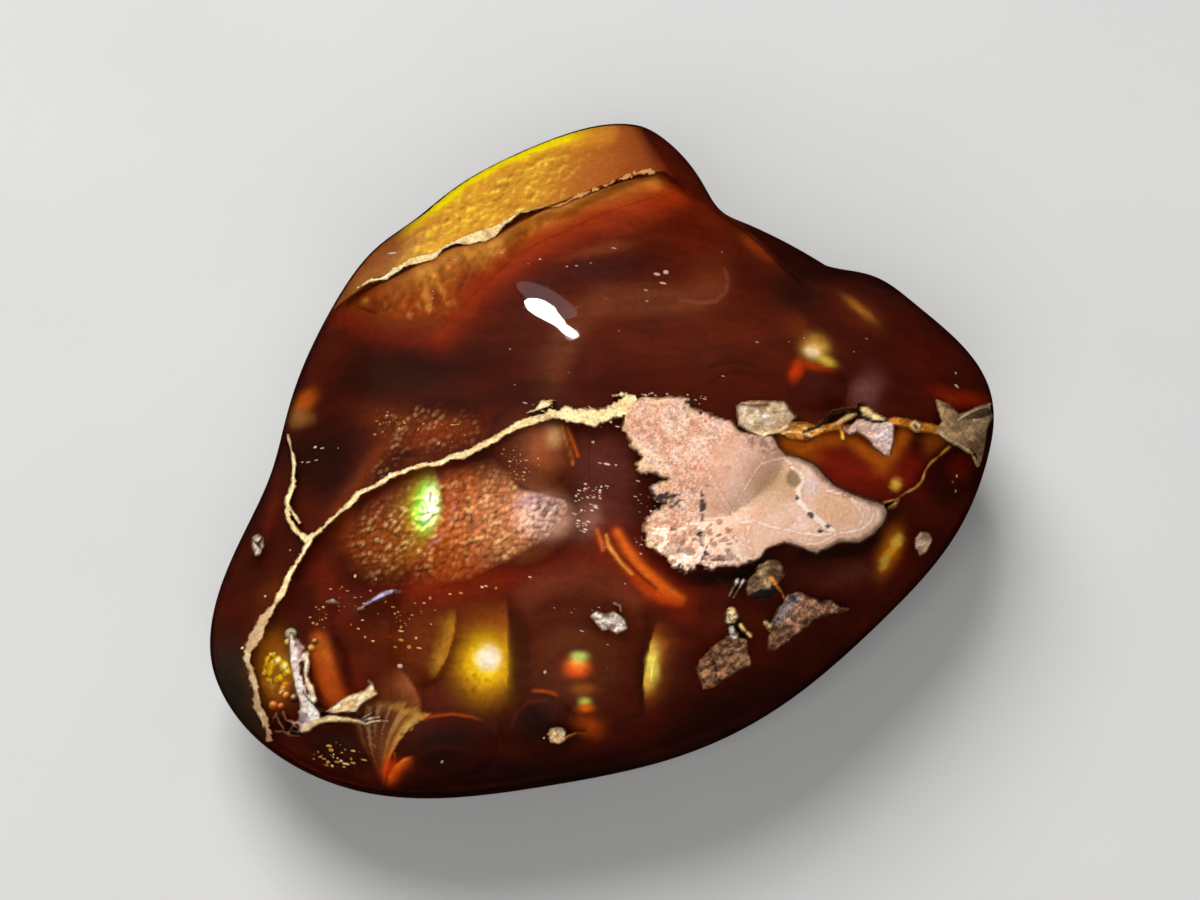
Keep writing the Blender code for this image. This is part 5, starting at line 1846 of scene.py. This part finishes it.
def set_camera():
    """A camera at the eye, aimed at the view's target."""
    data = bpy.data.cameras.new("camera")
    data.lens, data.sensor_width = LENS, SENSOR
    data.clip_start, data.clip_end = 0.01, 10
    camera = bpy.data.objects.new("camera", data)
    bpy.context.scene.collection.objects.link(camera)
    camera.location = EYE * MM
    aim(camera, VIEW_TARGET)
    bpy.context.scene.camera = camera


# Each lamp: heading from +X and height in degrees, distance, width, depth, roll, watts, colour, and
# whether the polish mirrors it.
LAMPS = {
    "key_softbox": (118, 52, 430, 330, 330, 0, 3.3, (1.0, 0.985, 0.96), False),
    "fill_softbox": (-100, 42, 460, 420, 300, 0, 2.2, (1.0, 0.99, 0.97), False),
    "spark_head": (95.67, 50.31, 420, 8, 32, 34.9, 0.055, (1.0, 1.0, 1.0), True),
    "spark_middle": (94.7, 51.3, 420, 5, 36, 35.3, 0.038, (1.0, 1.0, 1.0), True),
    "spark_tail": (93.3, 52.6, 420, 2.2, 42, 35.6, 0.019, (1.0, 1.0, 1.0), True),
    "spark_haze": (95.6, 49.1, 420, 11, 66, 31.1, 0.0016, (0.95, 0.96, 1.0), True),
}
WORLD_STRENGTH = 0.16
STONE_MIDDLE = (0, 0, 5)
FLOOR_REACH, FLOOR_LINES = 800, 41


def set_lamps():
    """Elliptic area lamps aimed at the stone's middle, and a dim even world."""
    for name, (azimuth, height, distance, width, depth, roll, watts, colour, mirrored) in LAMPS.items():
        data = bpy.data.lights.new(name, "AREA")
        data.shape, data.size, data.size_y = "ELLIPSE", width * MM, depth * MM
        data.energy, data.color = watts, colour
        lamp = bpy.data.objects.new(name, data)
        lamp.visible_glossy = mirrored
        bpy.context.scene.collection.objects.link(lamp)
        rise, turn = math.radians(height), math.radians(azimuth)
        way = (math.cos(rise) * math.cos(turn), math.cos(rise) * math.sin(turn), math.sin(rise))
        lamp.location = [distance * MM * v for v in way]
        aim(lamp, STONE_MIDDLE, roll)
    world = bpy.data.worlds.new("studio")
    world.use_nodes = True
    background = world.node_tree.nodes["Background"]
    background.inputs["Strength"].default_value = WORLD_STRENGTH
    background.inputs["Color"].default_value = (1.0, 0.99, 0.97, 1)
    world.cycles_visibility.glossy = False
    bpy.context.scene.world = world


def set_floor():
    """A flat pale board 1.6 m square, on an even grid."""
    t = np.linspace(-FLOOR_REACH, FLOOR_REACH, FLOOR_LINES)
    x, y = np.meshgrid(t, t, indexing="ij")
    quads = grid_quads(*x.shape)[1]
    points = np.stack([x, y, np.zeros_like(x)], -1).reshape(-1, 3)
    mesh = bpy.data.meshes.new("floor")
    mesh.from_pydata(points * MM, [], quads.tolist())
    mesh.materials.append(studio_floor())
    floor = bpy.data.objects.new("floor", mesh)
    bpy.context.scene.collection.objects.link(floor)
    floor.visible_glossy = False


set_camera()
set_lamps()
set_floor()
clear_skin()
make_inside()

bpy.context.scene.view_settings.view_transform = "Standard"
